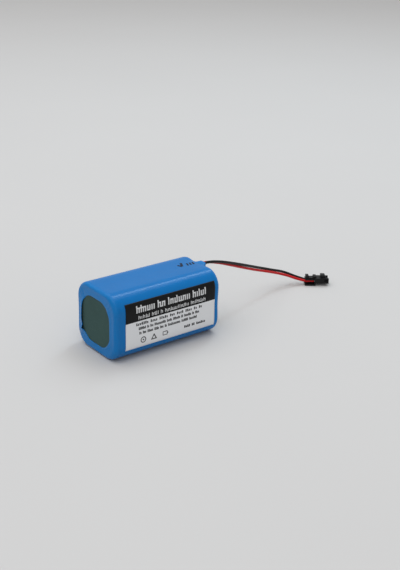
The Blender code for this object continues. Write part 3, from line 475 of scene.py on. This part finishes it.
def lacquered_board():
    paint = Paint("green lacquer", Specular_IOR_Level=0.5)
    y, z = paint.axes()[1:]
    flat = paint.node("CombineXYZ", X=y, Y=z)
    sizes = {"Scale": 300.0, "Mortar_Size": 0.045, "Mortar_Smooth": 0.3, "Row_Height": 0.6}
    tracks = paint.node("TexBrick", output=1, Vector=flat, **sizes)
    cloth = paint.cloud(2500.0, 2.0)
    ground = paint.mix(cloth, (0.004, 0.075, 0.028), (0.006, 0.095, 0.036))
    paint.set(Base_Color=paint.mix(tracks, ground, (0.012, 0.190, 0.070)))
    paint.set(Roughness=0.30 + 0.12 * cloth)
    return paint.bump(tracks, 0.03 * MM, 0.6).material


CELL_WRAP = film("cell wrap", (0.10, 0.42, 0.34), (0.14, 0.50, 0.40), 0.30)
TAPE = film("fibre tape", (0.50, 0.42, 0.18), (0.56, 0.48, 0.22), 0.36, stripes=400.0)
WASHER = film("paper washer", (0.66, 0.67, 0.60), (0.74, 0.75, 0.68), 0.80)
ELECTRODE = film("electrode roll", (0.050, 0.050, 0.055), (0.090, 0.085, 0.080), 0.50)
LACQUER = lacquered_board()
print("films and laminate ready")

# %% [markdown]
# The measured nodes that stay get their finish by name. A node's name ends or starts with a word
# that says what it is, so one table is enough for all of them.

# %% Dress the measured nodes
FINISHES = (
    ("wrap", CELL_WRAP), ("can", CAN_STEEL), ("cap", CAN_STEEL), ("gasket", GASKET),
    ("washer", WASHER), ("electrode_roll", ELECTRODE), ("link_cells", NICKEL), ("tab_", NICKEL),
    ("insulator", FISH_PAPER), ("protection_board", LACQUER), ("mosfet", CHIP_RESIN),
    ("protection_chip", CHIP_RESIN), ("shunt", CHIP_RESIN), ("filter_capacitor", CHIP_CERAMIC),
    ("sense_wire", YELLOW_JACKET), ("solder_joint", SOLDER), ("contact", TIN),
    ("fibre_tape", TAPE), ("adhesive", ADHESIVE), ("outer_sleeve", BLUE_FILM),
    ("rating_label", LABEL_STOCK), ("lead_negative", BLACK_JACKET), ("lead_positive", RED_JACKET),
    ("plug_", BLACK_NYLON),
)


def finish_of(name):
    if name.startswith("cell_"):
        piece = name.split("_", 2)[2]
        return next(finish for word, finish in FINISHES if word == piece)
    return next(finish for word, finish in FINISHES if word in name)


for name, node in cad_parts.items():
    node.data.materials.clear()
    node.data.materials.append(finish_of(name))
print("dressed:", len(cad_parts))

# %% [markdown]
# New pieces all end in the same way: a mesh becomes an object, gets its finish, stands for the node
# that it covers, and rides on a body of the measured model.

# %% Finish a piece
def piece(name, mesh, finish, slot, replaces=(), body="pack", place=None):
    made = add_object(name, mesh)
    if place is not None:
        made.matrix_world = place
    for material in finish if isinstance(finish, (list, tuple)) else [finish]:
        mesh.materials.append(material)
    if replaces:
        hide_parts(*replaces)
    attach(made, body)
    return made


def mesh_of(name, verts, faces):
    mesh = bpy.data.meshes.new(name)
    mesh.from_pydata([tuple(v) for v in verts], [], faces)
    mesh.validate()
    mesh.shade_smooth()
    return mesh


def thicken(made, thickness, offset):
    wall = made.modifiers.new("wall", "SOLIDIFY")
    wall.thickness = thickness
    wall.offset = offset


print("piece helper ready")

# %% [markdown]
# The film's surface is one function. A side of the pack is an outward direction and a direction along
# its width; a point is asked for by its place along the pack, its distance along the width from the
# middle, and its height off the film. Past the flat, the width bends round the long corner. Between
# two cells the film sags, more so near the right end, where nothing holds it out.

# %% The film's surface
SIDES = (
    (Vector((0, -1, 0)), Vector((0, 0, -1))),  # front, going down
    (Vector((0, 0, -1)), Vector((0, 1, 0))),  # underside, going back
    (Vector((0, 1, 0)), Vector((0, 0, 1))),  # back, going up
    (Vector((0, 0, 1)), Vector((0, -1, 0))),  # top, coming forward
)
REACH = FLAT + CORNER * math.pi / 4  # from the middle of a side to the middle of a long corner
SAG, LEFT_SAG, RIGHT_SAG, END_RUN = 0.08 * MM, 0.06 * MM, 0.25 * MM, 4.0 * MM
DIP_AT, DIP_WIDTH, DIP_DEPTH = 5.0 * MM, 2.6 * MM, 0.35 * MM


def sag(side, x, s):
    """How far the film lies inside its flat, at a place along the pack and across a side."""
    if abs(s) >= FLAT:
        return 0.0
    depth = SAG + LEFT_SAG * math.exp(-(((x - LEFT) / END_RUN) ** 2))
    depth += RIGHT_SAG * math.exp(-(((RIGHT - x) / END_RUN) ** 2))
    depth *= 0.5 + 0.5 * math.cos(math.pi * s / FLAT)
    if side == 3:  # the film was pulled towards the leads, which left a dip beside them
        near = math.exp(-(((RIGHT - x) / END_RUN) ** 2) - ((s + DIP_AT) / DIP_WIDTH) ** 2)
        depth += DIP_DEPTH * near * smooth((FLAT - abs(s)) / (2 * MM))
    return depth


def film_point(side, x, s, off=0.0):
    out, along = SIDES[side]
    if abs(s) <= FLAT:
        flat_out, flat_along = HALF + off - sag(side, x, s), s
    else:
        angle = (abs(s) - FLAT) / CORNER
        flat_out = FLAT + (CORNER + off) * math.cos(angle)
        flat_along = math.copysign(FLAT + (CORNER + off) * math.sin(angle), s)
    return CENTRE + Vector((x, 0, 0)) + out * flat_out + along * flat_along


print("a point on the front:", film_point(0, 0.0, 0.0))

# %% [markdown]
# The sleeve is a loft of closed rings, from the edge of one window to the edge of the other. Over the
# end, the film turns a rounded rim and folds in, and its cut edge is the window. The fold is
# narrowest along the underside. It is gathered into small pleats at the corners and its edge wanders
# a little, as a shrunk edge does. Along the back of the left window the edge stands off its paper,
# and there is a small tear in it.

# %% Rings of the sleeve
RIM_OUT, RIM_ALONG = 1.65 * MM, 2.4 * MM
RIM_RINGS, FOLD_RINGS, BODY_RINGS = 8, 8, 64
SIDE_STEPS = 40
EDGE_LIFT = 1.0 * MM
ROUND_MORE, ROUND_WIDTH = 0.7, 7.0 * MM
PLEATS = 5200.0  # radians of pleating per metre of the way round
NICK_AT, NICK_WIDTH, NICK_DEPTH = -13.6 * MM, 1.1 * MM, 1.2 * MM


class Window:
    """The opening in the fold at one end, by how far its edge is from each side of the pack."""

    def __init__(self, front, bottom, back, top, corner):
        self.folds = (front, bottom, back, top)
        self.corner = corner

    def point(self, side, x, s):
        out, along = SIDES[side]
        before, after = self.folds[(side - 1) % 4], self.folds[(side + 1) % 4]
        reach = HALF - self.folds[side]
        edge = HALF - (after if s > 0 else before)
        if abs(s) <= FLAT:
            flat_out, flat_along = reach, s / FLAT * (edge - self.corner)
        else:
            angle = (abs(s) - FLAT) / CORNER
            flat_out = reach - self.corner * (1 - math.cos(angle))
            flat_along = math.copysign(edge - self.corner * (1 - math.sin(angle)), s)
        return CENTRE + Vector((x, 0, 0)) + out * flat_out + along * flat_along


LEFT_WINDOW = Window(5.8 * MM, 5.2 * MM, 5.4 * MM, 5.9 * MM, corner=9.6 * MM)
RIGHT_WINDOW = Window(5.1 * MM, 4.9 * MM, 5.1 * MM, 5.6 * MM, corner=7.6 * MM)


def wander(point, scale, amount):
    return amount * noise.noise(point * scale)


def around():
    """Every place round the pack: the side and the distance along it."""
    for side in range(4):
        for step in range(SIDE_STEPS):
            yield side, REACH * (2 * step / SIDE_STEPS - 1)


def end_ring(end, window, run):
    """One ring of an end. run is 0 where the rim starts, 1 at its edge and 2 at the window."""
    direction = 1 if end > 0 else -1
    ring = []
    for side, s in around():
        turn = math.radians(90) * min(run, 1.0)
        x = end - direction * RIM_ALONG * (1 - math.sin(turn))
        out = RIM_OUT * (round_corner(side, s) if end < 0 else 1.0)
        point = film_point(side, x, s, -out * (1 - math.cos(turn)))
        if run > 1:
            share = run - 1
            edge = window.point(side, end, s)
            pleat = smooth((abs(s) - FLAT * 0.8) / (REACH - FLAT * 0.8)) * math.sin(s * PLEATS)
            outward = (edge - CENTRE).normalized()
            edge += outward * (wander(edge, 220.0, 0.26 * MM) * share)
            if end < 0:
                edge += outward * nick(side, s)
            point = point.lerp(edge, share)
            dip = 0.10 * MM * math.sin(math.pi * share)
            lift = 0.16 * MM * pleat * math.sin(math.pi * min(1.0, share * 1.3))
            point.x += direction * (lift - dip)
            if end < 0:
                point.x -= lifted(side, s) * share**1.5
        ring.append(point)
    return ring


def round_corner(side, s):
    """The rim at the two front corners of the left end is rounder than the rest."""
    away = {0: REACH - abs(s), 1: REACH + s, 3: REACH - s}.get(side, 4 * REACH)
    return 1 + ROUND_MORE * math.exp(-((away / ROUND_WIDTH) ** 2))


def lifted(side, s):
    """How far the left window's edge stands off its paper: all along the back, where it is loose."""
    if side != 2:
        return 0.0
    return EDGE_LIFT * math.cos(math.pi / 2 * s / REACH) ** 0.5


def nick(side, s):
    """A small tear in the loose edge, near its lower end."""
    return NICK_DEPTH * math.exp(-(((s - NICK_AT) / NICK_WIDTH) ** 2)) if side == 2 else 0.0


def body_ring(x):
    ring = []
    for side, s in around():
        ripple = wander(Vector((x * 0.35, s, side)), 330.0, 0.035 * MM)
        ring.append(film_point(side, x, s, min(0.0, ripple)))
    return ring


print("ring points:", len(body_ring(0.0)))

# %% [markdown]
# Where the leads leave, the film isn't folded in. It rises a little over the two leads and stands
# out over them as a short spout, with a slope on either side that runs back into the fold.
# So the right-hand rings are bent towards the spout near the middle of the top edge.

# %% Spout over the leads
SPOUT_REACH = 1.6 * MM
SPOUT_HALF_WIDTH = 1.9 * MM
SPOUT_SHOULDER = 6.6 * MM
SPOUT_RISE = 0.45 * MM
SPOUT_ARCH = 0.6 * MM


def spout_share(side, s):
    """1 over the leads and 0 away from them, along the top edge."""
    if side != 3:
        return 0.0
    away = abs(-s - EXIT_Y) - SPOUT_HALF_WIDTH
    return 1 - smooth(away / (SPOUT_SHOULDER - SPOUT_HALF_WIDTH))


def bend_to_spout(ring, run):
    """run is 0 where the rim starts and 1 at the window's edge."""
    bent = []
    for (side, s), point in zip(around(), ring):
        share = spout_share(side, s)
        if share > 0:
            x = RIGHT - RIM_ALONG + (RIM_ALONG + SPOUT_REACH) * run
            target = film_point(side, RIGHT - RIM_ALONG, s, SPOUT_RISE * smooth(run))
            target.x = x + wander(Vector((x, s, 0)), 500.0, 0.2 * MM) * run
            arch = max(0.0, abs(-s - EXIT_Y) / SPOUT_SHOULDER)
            target.z -= SPOUT_ARCH * arch**2 * run
            point = point.lerp(target, share)
        bent.append(point)
    return bent


def sleeve_rings():
    steps = [i / RIM_RINGS for i in range(RIM_RINGS)] + [1 + i / FOLD_RINGS for i in range(FOLD_RINGS + 1)]
    left = [end_ring(LEFT, LEFT_WINDOW, run) for run in steps]
    right = [bend_to_spout(end_ring(RIGHT, RIGHT_WINDOW, run), run / 2) for run in steps]
    start, length = LEFT + RIM_ALONG, RIGHT - LEFT - 2 * RIM_ALONG
    body = [body_ring(start + length * i / BODY_RINGS) for i in range(1, BODY_RINGS)]
    return left[::-1] + body + right


rings = sleeve_rings()
around_count = len(rings[0])
faces = []
for r in range(len(rings) - 1):
    for i in range(around_count):
        j = (i + 1) % around_count
        row, next_row = r * around_count, (r + 1) * around_count
        faces.append((row + i, row + j, next_row + j, next_row + i))
sleeve_mesh = mesh_of("shrink_sleeve", [p for ring in rings for p in ring], faces)
sleeve = piece("shrink_sleeve", sleeve_mesh, BLUE_FILM, "blue_film", ["outer_sleeve"])
thicken(sleeve, FILM_WALL, -1.0)
print("sleeve rings:", len(rings), "faces:", len(faces))

# %% [markdown]
# An end paper lies flat under the fold. The nickel strips behind it press through as faint raised
# bands, and the sheet bows out a little in its middle. It is a fine grid with a rounded outline,
# thickened inwards.

# %% Left end paper
PAPER_WALL = 0.25 * MM
PAPER_CORNER = 8.1 * MM
PAPER_RINGS, PAPER_SPOKES = 40, 96
STRIP_PRESS, BOW = 0.05 * MM, 0.18 * MM
STRIP_AT, STRIP_HALF_WIDTH, STRIP_EDGE = 9.3 * MM, 4.0 * MM, 0.8 * MM
STRIP_REACH = 13.0 * MM


def left_end_paper():
    low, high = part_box("left_end_insulator")
    half = (high.y - low.y) / 2
    verts, faces = [], []
    for r in range(PAPER_RINGS + 1):
        share = r / PAPER_RINGS
        for k in range(PAPER_SPOKES):
            angle = 2 * math.pi * k / PAPER_SPOKES
            ray = Vector((0, math.cos(angle), math.sin(angle)))
            point = ray * edge_distance(ray.y, ray.z, half, PAPER_CORNER) * share
            raised = STRIP_PRESS * level_strips(point.y, point.z) + BOW * (1 - share**2)
            raised += wander(point, 120.0, 0.04 * MM) * (1 - share)
            verts.append(CENTRE + point + Vector((low.x - raised, 0, 0)))
    for r in range(PAPER_RINGS):
        row, next_row = r * PAPER_SPOKES, (r + 1) * PAPER_SPOKES
        for k in range(PAPER_SPOKES):
            j = (k + 1) % PAPER_SPOKES
            faces.append((row + k, row + j, next_row + j, next_row + k))
    mesh = mesh_of("left_end_paper", verts, faces)
    weld(mesh)
    paper = piece("left_end_paper", mesh, FISH_PAPER, "insulating_board", ["left_end_insulator"])
    thicken(paper, PAPER_WALL, -1.0)


def edge_distance(a, b, half, radius):
    """How far a ray from the middle runs to the edge of a square with round corners."""
    a, b = abs(a), abs(b)
    straight = half / max(a, b)
    inner = half - radius
    if min(a, b) * straight <= inner:
        return straight
    middle = inner * (a + b)
    return middle + math.sqrt(middle**2 - (2 * inner**2 - radius**2) * (a * a + b * b))


def weld(mesh):
    shape = bmesh.new()
    shape.from_mesh(mesh)
    bmesh.ops.remove_doubles(shape, verts=shape.verts, dist=0.001 * MM)
    shape.to_mesh(mesh)
    shape.free()


def level_strips(y, z):
    """Two strips that lie across the end, over the upper and over the lower pair of cells."""
    off = abs(abs(z) - STRIP_AT) - STRIP_HALF_WIDTH
    return (1 - smooth(off / STRIP_EDGE + 0.5)) * (1 - smooth((abs(y) - STRIP_REACH) / MM))


left_end_paper()
print("end paper ready")

# %% [markdown]
# The label follows the film, so its grid asks the same surface function for its points. It has two
# finishes: the black band above and the pale stock below. The row of the grid where the band ends is
# placed exactly on that line.

# %% Label
LABEL_LOW, LABEL_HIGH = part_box("rating_label")
LABEL_OFF = 0.05 * MM
LABEL_WALL = 0.12 * MM
LABEL_LEFT, LABEL_RIGHT = LABEL_LOW.x, LABEL_HIGH.x


def arc_reach(height):
    """The distance along the film from the middle of a side to a height over the flat's middle."""
    return math.copysign(FLAT + CORNER * math.asin((abs(height) - FLAT) / CORNER), height)


LABEL_TOP = arc_reach(LABEL_HIGH.z - HALF)
LABEL_BOTTOM = arc_reach(LABEL_LOW.z - HALF)
BAND_BOTTOM = 3.35 * MM
LABEL_COLUMNS, BAND_ROWS, STOCK_ROWS = 60, 16, 22


def front_point(x, s, off):
    """A point on the front, where s is measured upwards from the middle."""
    return film_point(0, x, -s, off)


def make_label():
    levels = [LABEL_BOTTOM + (BAND_BOTTOM - LABEL_BOTTOM) * i / STOCK_ROWS for i in range(STOCK_ROWS)]
    levels += [BAND_BOTTOM + (LABEL_TOP - BAND_BOTTOM) * i / BAND_ROWS for i in range(BAND_ROWS + 1)]
    verts, faces = [], []
    for s in levels:
        for c in range(LABEL_COLUMNS + 1):
            x = LABEL_LEFT + (LABEL_RIGHT - LABEL_LEFT) * c / LABEL_COLUMNS
            verts.append(front_point(x, s, LABEL_OFF))
    for r in range(len(levels) - 1):
        for c in range(LABEL_COLUMNS):
            a = r * (LABEL_COLUMNS + 1) + c
            faces.append((a, a + 1, a + LABEL_COLUMNS + 2, a + LABEL_COLUMNS + 1))
    mesh = mesh_of("printed_label", verts, faces)
    label = piece("printed_label", mesh, [LABEL_STOCK, BAND_INK], "label_stock", ["rating_label"])
    for face in mesh.polygons:
        face.material_index = 1 if face.index >= STOCK_ROWS * LABEL_COLUMNS else 0
    thicken(label, LABEL_WALL, 1.0)


make_label()
print("label from", LABEL_LEFT, "to", LABEL_RIGHT)

# %% [markdown]
# Print is a layer of ink with an edge of its own, so the marks are thin slabs that follow the surface
# under them. A slab is four corners in the surface's two directions, lifted to two heights. A real
# label has words on it. Here each word is a row of plain strokes of uneven height, as a designer
# greeks a layout: it has the weight of small type and says nothing.

# %% Ink slabs
INK = 0.02 * MM
INK_STEP = 0.6 * MM
TALL_SHARE, LOW_TOP = 0.25, 0.74  # how many strokes are tall, and how high the others reach
BAR_SHARE, BAR_LOW_SHARE, BAR_MIDDLE, BAR_HEIGHT = 0.7, 0.4, 0.56, 0.17


class Print:
    """Marks in one ink on one surface."""

    def __init__(self, surface, base):
        self.surface, self.base = surface, base
        self.verts, self.faces = [], []

    def slab(self, corners):
        """Four corners, in turn; the slab is divided across, so that it can bend with the surface."""
        near, near_end, far_end, far = (Vector((*corner, 0)) for corner in corners)
        longest = max((far - near).length, (far_end - near_end).length)
        steps = max(1, math.ceil(longest / INK_STEP))
        start = len(self.verts)
        for i in range(steps + 1):
            left, right = near.lerp(far, i / steps), near_end.lerp(far_end, i / steps)
            for x, s, off in ((*left.xy, 0), (*right.xy, 0), (*right.xy, INK), (*left.xy, INK)):
                self.verts.append(self.surface(x, s, self.base + off))
        self.faces.append(tuple(start + i for i in (3, 2, 1, 0)))
        for i in range(steps):
            row = start + 4 * i
            for k in range(4):
                j = (k + 1) % 4
                self.faces.append((row + k, row + j, row + 4 + j, row + 4 + k))
        self.faces.append(tuple(start + 4 * steps + i for i in range(4)))

    def box(self, x0, x1, s0, s1):
        self.slab([(x0, s0), (x1, s0), (x1, s1), (x0, s1)])

    def loop(self, middle, radius, stroke, sides, turn=0.0):
        """A ring of straight slabs round a middle."""
        for k in range(sides):
            a, b = (turn + 2 * math.pi * (k + i) / sides for i in (0, 1))
            corners = [(radius - stroke, a), (radius, a), (radius, b), (radius - stroke, b)]
            self.slab([(middle[0] + r * math.cos(t), middle[1] + r * math.sin(t)) for r, t in corners])

    def words(self, x0, x1, s0, s1, words, seed, weight=0.5):
        """A line of stand-in words: strokes of uneven height, some joined to the next by a bar."""
        draw = random.Random(seed)
        units = sum(words) + len(words) - 1
        pitch = (x1 - x0) / units
        stroke = pitch * weight
        height = s1 - s0
        x = x0
        for count in words:
            for letter in range(count):
                top = s1 if letter == 0 or draw.random() < TALL_SHARE else s0 + height * LOW_TOP
                self.box(x, x + stroke, s0, top)
                if letter < count - 1 and draw.random() < BAR_SHARE:
                    bar = s0 if draw.random() < BAR_LOW_SHARE else s0 + height * BAR_MIDDLE
                    self.box(x + stroke, x + pitch, bar, bar + height * BAR_HEIGHT)
                x += pitch
            x += pitch

    def finish(self, name, ink, slot):
        mesh = mesh_of(name, self.verts, self.faces)
        mesh.shade_flat()
        return piece(name, mesh, ink, slot)


print("ink ready")

# %% Marks on the label
ON_LABEL = LABEL_OFF + LABEL_WALL
white = Print(front_point, ON_LABEL)
white.words(-21.8 * MM, 25.4 * MM, 8.2 * MM, 12.3 * MM, (9, 4, 11, 7), seed=3, weight=0.56)
white.words(-20.4 * MM, 25.2 * MM, 4.4 * MM, 6.5 * MM, (8, 5, 2, 17, 11), seed=5, weight=0.40)
white.finish("label_marks_white", WHITE_INK, "label_stock")

black = Print(front_point, ON_LABEL)
black.words(-21.8 * MM, 22.6 * MM, 0.8 * MM, 2.4 * MM, (7, 4, 5, 3, 4, 4, 2, 2), seed=7, weight=0.64)
black.words(-20.2 * MM, 20.5 * MM, -1.9 * MM, -0.3 * MM, (7, 2, 3, 11, 5, 7, 2, 7, 2, 4), seed=9, weight=0.76)
black.words(-19.8 * MM, 19.0 * MM, -4.6 * MM, -3.0 * MM, (2, 3, 5, 4, 3, 2, 11, 6, 7), seed=11, weight=0.76)
black.words(10.2 * MM, 25.0 * MM, -8.7 * MM, -7.2 * MM, (4, 2, 6), seed=13, weight=0.76)
print("lines of marks ready")

# %% [markdown]
# Three small pictograms stand under the lines. They are plain shapes with no meaning as marks of
# approval: a ring with a dot, an open triangle, and a cell seen from the side. The inspector's mark
# on the sleeve is a tick and three tally strokes, in a dry ink.

# %% Pictograms
PICTURE_ROW = -8.2 * MM
black.loop((-17.2 * MM, PICTURE_ROW), 1.8 * MM, 0.50 * MM, 20)
black.loop((-17.2 * MM, PICTURE_ROW), 0.5 * MM, 0.45 * MM, 10)
black.loop((-10.2 * MM, PICTURE_ROW - 0.4 * MM), 2.3 * MM, 1.10 * MM, 3, turn=math.radians(90))
cell_left, cell_right = -4.4 * MM, -1.2 * MM
for low_s in (-9.4 * MM, -7.4 * MM):
    black.box(cell_left, cell_right, low_s, low_s + 0.4 * MM)
for x in (cell_left, cell_right - 0.4 * MM):
    black.box(x, x + 0.4 * MM, -9.0 * MM, -7.4 * MM)
black.box(cell_right, cell_right + 0.5 * MM, -8.6 * MM, -7.8 * MM)
black.finish("label_marks_black", BLACK_INK, "label_stock")


def top_point(x, s, off):
    """A point on the top, where s is measured towards the back."""
    return film_point(3, x, -s, off)


def stamp_line(points, width):
    """A hand-drawn line on the top, through points in millimetres."""
    for start, end in zip(points, points[1:]):
        aside = Vector((start.y - end.y, end.x - start.x)).normalized() * width / 2
        stamp.slab([corner * MM for corner in (start - aside, end - aside, end + aside, start + aside)])


stamp = Print(top_point, 0.02 * MM)
TICK = [Vector(point) for point in ((20.9, 2.4), (22.3, -0.2), (24.6, 4.2))]
TALLY_LOW, TALLY_HIGH, TALLY_LEAN = -0.9, 2.2, 1.0
stamp_line(TICK, 1.4)
for x in (26.2, 28.2, 30.2):
    stamp_line([Vector((x, TALLY_LOW)), Vector((x + TALLY_LEAN, TALLY_HIGH))], 1.05)
stamp.finish("inspection_stamp", STAMP_INK, "blue_film")
print("pictograms and stamp ready")

# %% [markdown]
# The leads are curves with a round section, which keeps them smooth from end to end and lets their
# length be read off the line itself. Each starts with a short bare stub, a tinned one, at the solder
# joint.

# %% Leads
def wire(name, points, radius, finish, replaces=()):
    line = bpy.data.curves.new(name, "CURVE")
    line.dimensions = "3D"
    line.bevel_depth = radius
    line.bevel_resolution = 5
    line.use_fill_caps = True
    spline = line.splines.new("POLY")
    spline.points.add(len(points) - 1)
    for point, place in zip(spline.points, points):
        point.co = (*place, 1)
    spline.use_smooth = True
    made = add_object(name, line)
    line.materials.append(finish)
    if replaces:
        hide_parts(*replaces)
    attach(made, "pack")
    return made


negative_points, positive_points = lead_points(-1), lead_points(1)
black_lead = wire("black_lead", negative_points, LEAD_RADIUS, BLACK_JACKET, ["lead_negative"])
red_lead = wire("red_lead", positive_points, LEAD_RADIUS, RED_JACKET, ["lead_positive"])
for name, points in (("black_lead_strands", negative_points), ("red_lead_strands", positive_points)):
    stub = [points[0] + Vector((0, 0, -1.0 * MM)), points[0] + Vector((0, 0, 0.3 * MM))]
    wire(name, stub, 0.45 * MM, COPPER)
print("leads ready")

# %% [markdown]
# The plug is one moulding, and its outline from the side tells most of it: a flange under the rear, an
# open channel where the leads go in, and a nose with two cavities under a slot for the latch. It is
# built from blocks that are joined and cut by Booleans, and a Bevel then breaks every edge, because a
# moulding has none sharp.

# %% Plug housing
PLUG_WIDTH = 6.0 * MM
SLOT_GAP = 0.2 * MM
LATCH_WIDTH = 3.8 * MM


def block(shape, low, high):
    """A box between two corners, in millimetres, added to a shape."""
    made = bmesh.ops.create_cube(shape, size=1.0)["verts"]
    size = (Vector(high) - Vector(low)) * MM
    bmesh.ops.scale(shape, vec=size, verts=made)
    bmesh.ops.translate(shape, vec=(Vector(high) + Vector(low)) / 2 * MM, verts=made)


def written(name, shape):
    """A shape written out as a mesh."""
    mesh = bpy.data.meshes.new(name)
    shape.to_mesh(mesh)
    shape.free()
    return mesh


def blocks_mesh(name, boxes):
    shape = bmesh.new()
    for low, high in boxes:
        block(shape, low, high)
    return written(name, shape)


def combined(name, joined, cut):
    """Blocks joined one by one, then cut, as one mesh."""
    target = add_object(name, blocks_mesh(name, joined[:1]))
    tools = []
    for boxes, operation in ((joined[1:], "UNION"), (cut, "DIFFERENCE")):
        for box in boxes:
            tool = add_object("tool", blocks_mesh("tool", [box]))
            modifier = target.modifiers.new(operation.lower(), "BOOLEAN")
            modifier.operation = operation
            modifier.object = tool
            tools.append(tool)
    ready = target.evaluated_get(bpy.context.evaluated_depsgraph_get())
    mesh = bpy.data.meshes.new_from_object(ready)
    for leftover in [target, *tools]:
        bpy.data.objects.remove(leftover)
    return mesh


def soften(made, width):
    edge = made.modifiers.new("edge", "BEVEL")
    edge.width = width
    edge.segments = 2
    edge.limit_method = "ANGLE"
    edge.angle_limit = math.radians(40)
    for face in made.data.polygons:
        face.use_smooth = True
    weighted = made.modifiers.new("normals", "WEIGHTED_NORMAL")
    weighted.keep_sharp = True


half = PLUG_WIDTH / 2 / MM
slot = (LATCH_WIDTH / 2 + SLOT_GAP) / MM
housing_parts = [
    ((6.0, -half, 1.6), (15.0, half, 4.1)),  # nose
    ((6.0, -half, 2.8), (15.0, -slot, 5.0)),  # cheeks on either side of the latch
    ((6.0, slot, 2.8), (15.0, half, 5.0)),
    ((0.0, -half, 0.0), (6.8, half, 0.95)),  # flange, and the neck from it to the nose
    ((6.0, -half, 0.5), (6.8, half, 2.8)),
    ((0.0, -half, 3.75), (6.5, half, 4.0)),  # roof over the leads, and the rib between them
    ((0.0, -0.25, 0.5), (6.5, 0.25, 3.9)),
    ((5.65, -1.9, 3.9), (6.45, 1.9, 4.5)),  # web that the latch rocks on
    ((0.0, -half, 0.0), (0.8, half, 1.25)),  # lip
]
housing_cuts = [
    ((11.9, -half - 1.0, 2.15), (14.2, -half + 0.2, 4.45)),  # shallow panels in the sides
    ((11.9, half - 0.2, 2.15), (14.2, half + 1.0, 4.45)),
]
for way in (-1, 1):
    y = way * PLUG_PITCH / 2 / MM
    housing_cuts.append(((5.5, y - 0.95, 2.0), (16.0, y + 0.95, 3.7)))
    housing_cuts.append(((9.0, y - 0.6, 1.0), (10.6, y + 0.6, 2.85)))
    housing_cuts.append(((1.8, y - 0.55, -0.5), (4.6, y + 0.55, 0.55)))
housing_mesh = combined("plug_shell", housing_parts, housing_cuts)
plug_shell = piece("plug_shell", housing_mesh, BLACK_NYLON, "plug_nylon", ["plug_housing"], place=PLUG_PLACE)
soften(plug_shell, 0.12 * MM)
print("plug housing faces:", len(housing_mesh.polygons))

# %% [markdown]
# The latch is a springy arm that rocks on a web under its middle: pressing the ribbed pad at the rear
# lifts the hook at the front off the bar of the mating half. It is an outline from the side, given
# the arm's width. It rides on the latch's own body, so that it rocks with the joint.

# %% Latch arm
LATCH_ORIGIN = Vector((6.05, 0, 4.825)) * MM
LATCH_OUTLINE = (
    (-5.75, -0.225), (7.55, -0.225), (7.55, 0.225), (7.10, 0.225), (6.85, 1.20), (6.50, 2.025),
    (3.80, 2.125), (3.80, 0.225), (1.10, 0.225), (0.90, 1.225), (-0.90, 1.225), (-1.10, 0.225),
    (-3.70, 0.225), (-3.85, 1.45), (-4.15, 1.575), (-4.35, 1.35), (-4.60, 1.575), (-4.85, 1.35),
    (-5.10, 1.575), (-5.35, 1.35), (-5.60, 1.575), (-5.75, 1.45),
)


def extruded(name, outline, width):
    """A side outline, in millimetres, given a width across."""
    shape = bmesh.new()
    near = [shape.verts.new((x * MM, -width / 2, z * MM)) for x, z in outline]
    far = [shape.verts.new((x * MM, width / 2, z * MM)) for x, z in outline]
    shape.faces.new(near)
    shape.faces.new(far[::-1])
    for i in range(len(outline)):
        j = (i + 1) % len(outline)
        shape.faces.new((near[j], near[i], far[i], far[j]))
    bmesh.ops.recalc_face_normals(shape, faces=shape.faces)
    return written(name, shape)


latch_mesh = extruded("latch_arm", LATCH_OUTLINE, LATCH_WIDTH)
latch_place = PLUG_PLACE @ Matrix.Translation(LATCH_ORIGIN)
latch_arm = piece("latch_arm", latch_mesh, BLACK_NYLON, "plug_nylon", ["plug_latch"], "latch", latch_place)
soften(latch_arm, 0.08 * MM)
print("latch faces:", len(latch_mesh.polygons))

# %% [markdown]
# Now that the plug exists, each lead's far end is paired with the pieces on it, the plug's shell or its
# latch and a contact, and the length of each lead is summed again.

on_negative = [plug_shell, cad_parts["contact_negative"]]
on_positive = [latch_arm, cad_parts["contact_positive"]]
for lead, points, pieces in (
    (black_lead, negative_points, on_negative),
    (red_lead, positive_points, on_positive),
):
    length_of(points)

# %% [markdown]
# The setting is a pale sheet of paper that fills the view. A broad soft lamp hangs almost straight
# above, so it lights the top more than the front. A narrow bluish one, off to the right, draws the
# bright line along the long top corner, and a weak one fills in the front.

# %% Floor and light
def floor():
    shape = bmesh.new()
    bmesh.ops.create_grid(shape, x_segments=1, y_segments=1, size=6.0)
    mesh = written("floor", shape)
    made = add_object("floor", mesh)
    made.location.z = -0.05 * MM
    paint = Paint("backdrop paper", Roughness=0.9, Specular_IOR_Level=0.1)
    tone = paint.cloud(6.0, 2.0)
    paint.set(Base_Color=paint.mix(tone, (0.562, 0.554, 0.549), (0.576, 0.568, 0.563)))
    mesh.materials.append(paint.material)


def lamp(name, place, size, power, colour=(1.0, 1.0, 1.0)):
    """A rectangular lamp that faces the origin."""
    data = bpy.data.lights.new(name, "AREA")
    data.shape = "RECTANGLE"
    data.size, data.size_y = size
    data.energy = power
    data.color = colour
    made = add_object(name, data)
    made.location = place
    made.rotation_euler = (-Vector(place)).to_track_quat("-Z", "Y").to_euler()


def light_scene():
    floor()
    lamp("overhead", (-0.14, 0.16, 1.50), (2.4, 2.0), 19.5)
    lamp("right_strip", (0.62, 0.30, 1.03), (0.16, 0.8), 2.5, colour=(0.70, 0.88, 1.0))
    lamp("front_fill", (-1.1, -1.6, 0.9), (1.6, 1.2), 2.4)
    world = bpy.data.worlds.new("studio")
    world.use_nodes = True
    world.node_tree.nodes["Background"].inputs["Color"].default_value = (1.0, 1.0, 1.0, 1.0)
    world.node_tree.nodes["Background"].inputs["Strength"].default_value = 0.55
    bpy.context.scene.world = world
    bpy.context.scene.view_settings.view_transform = "Standard"


light_scene()
print("scene lit")
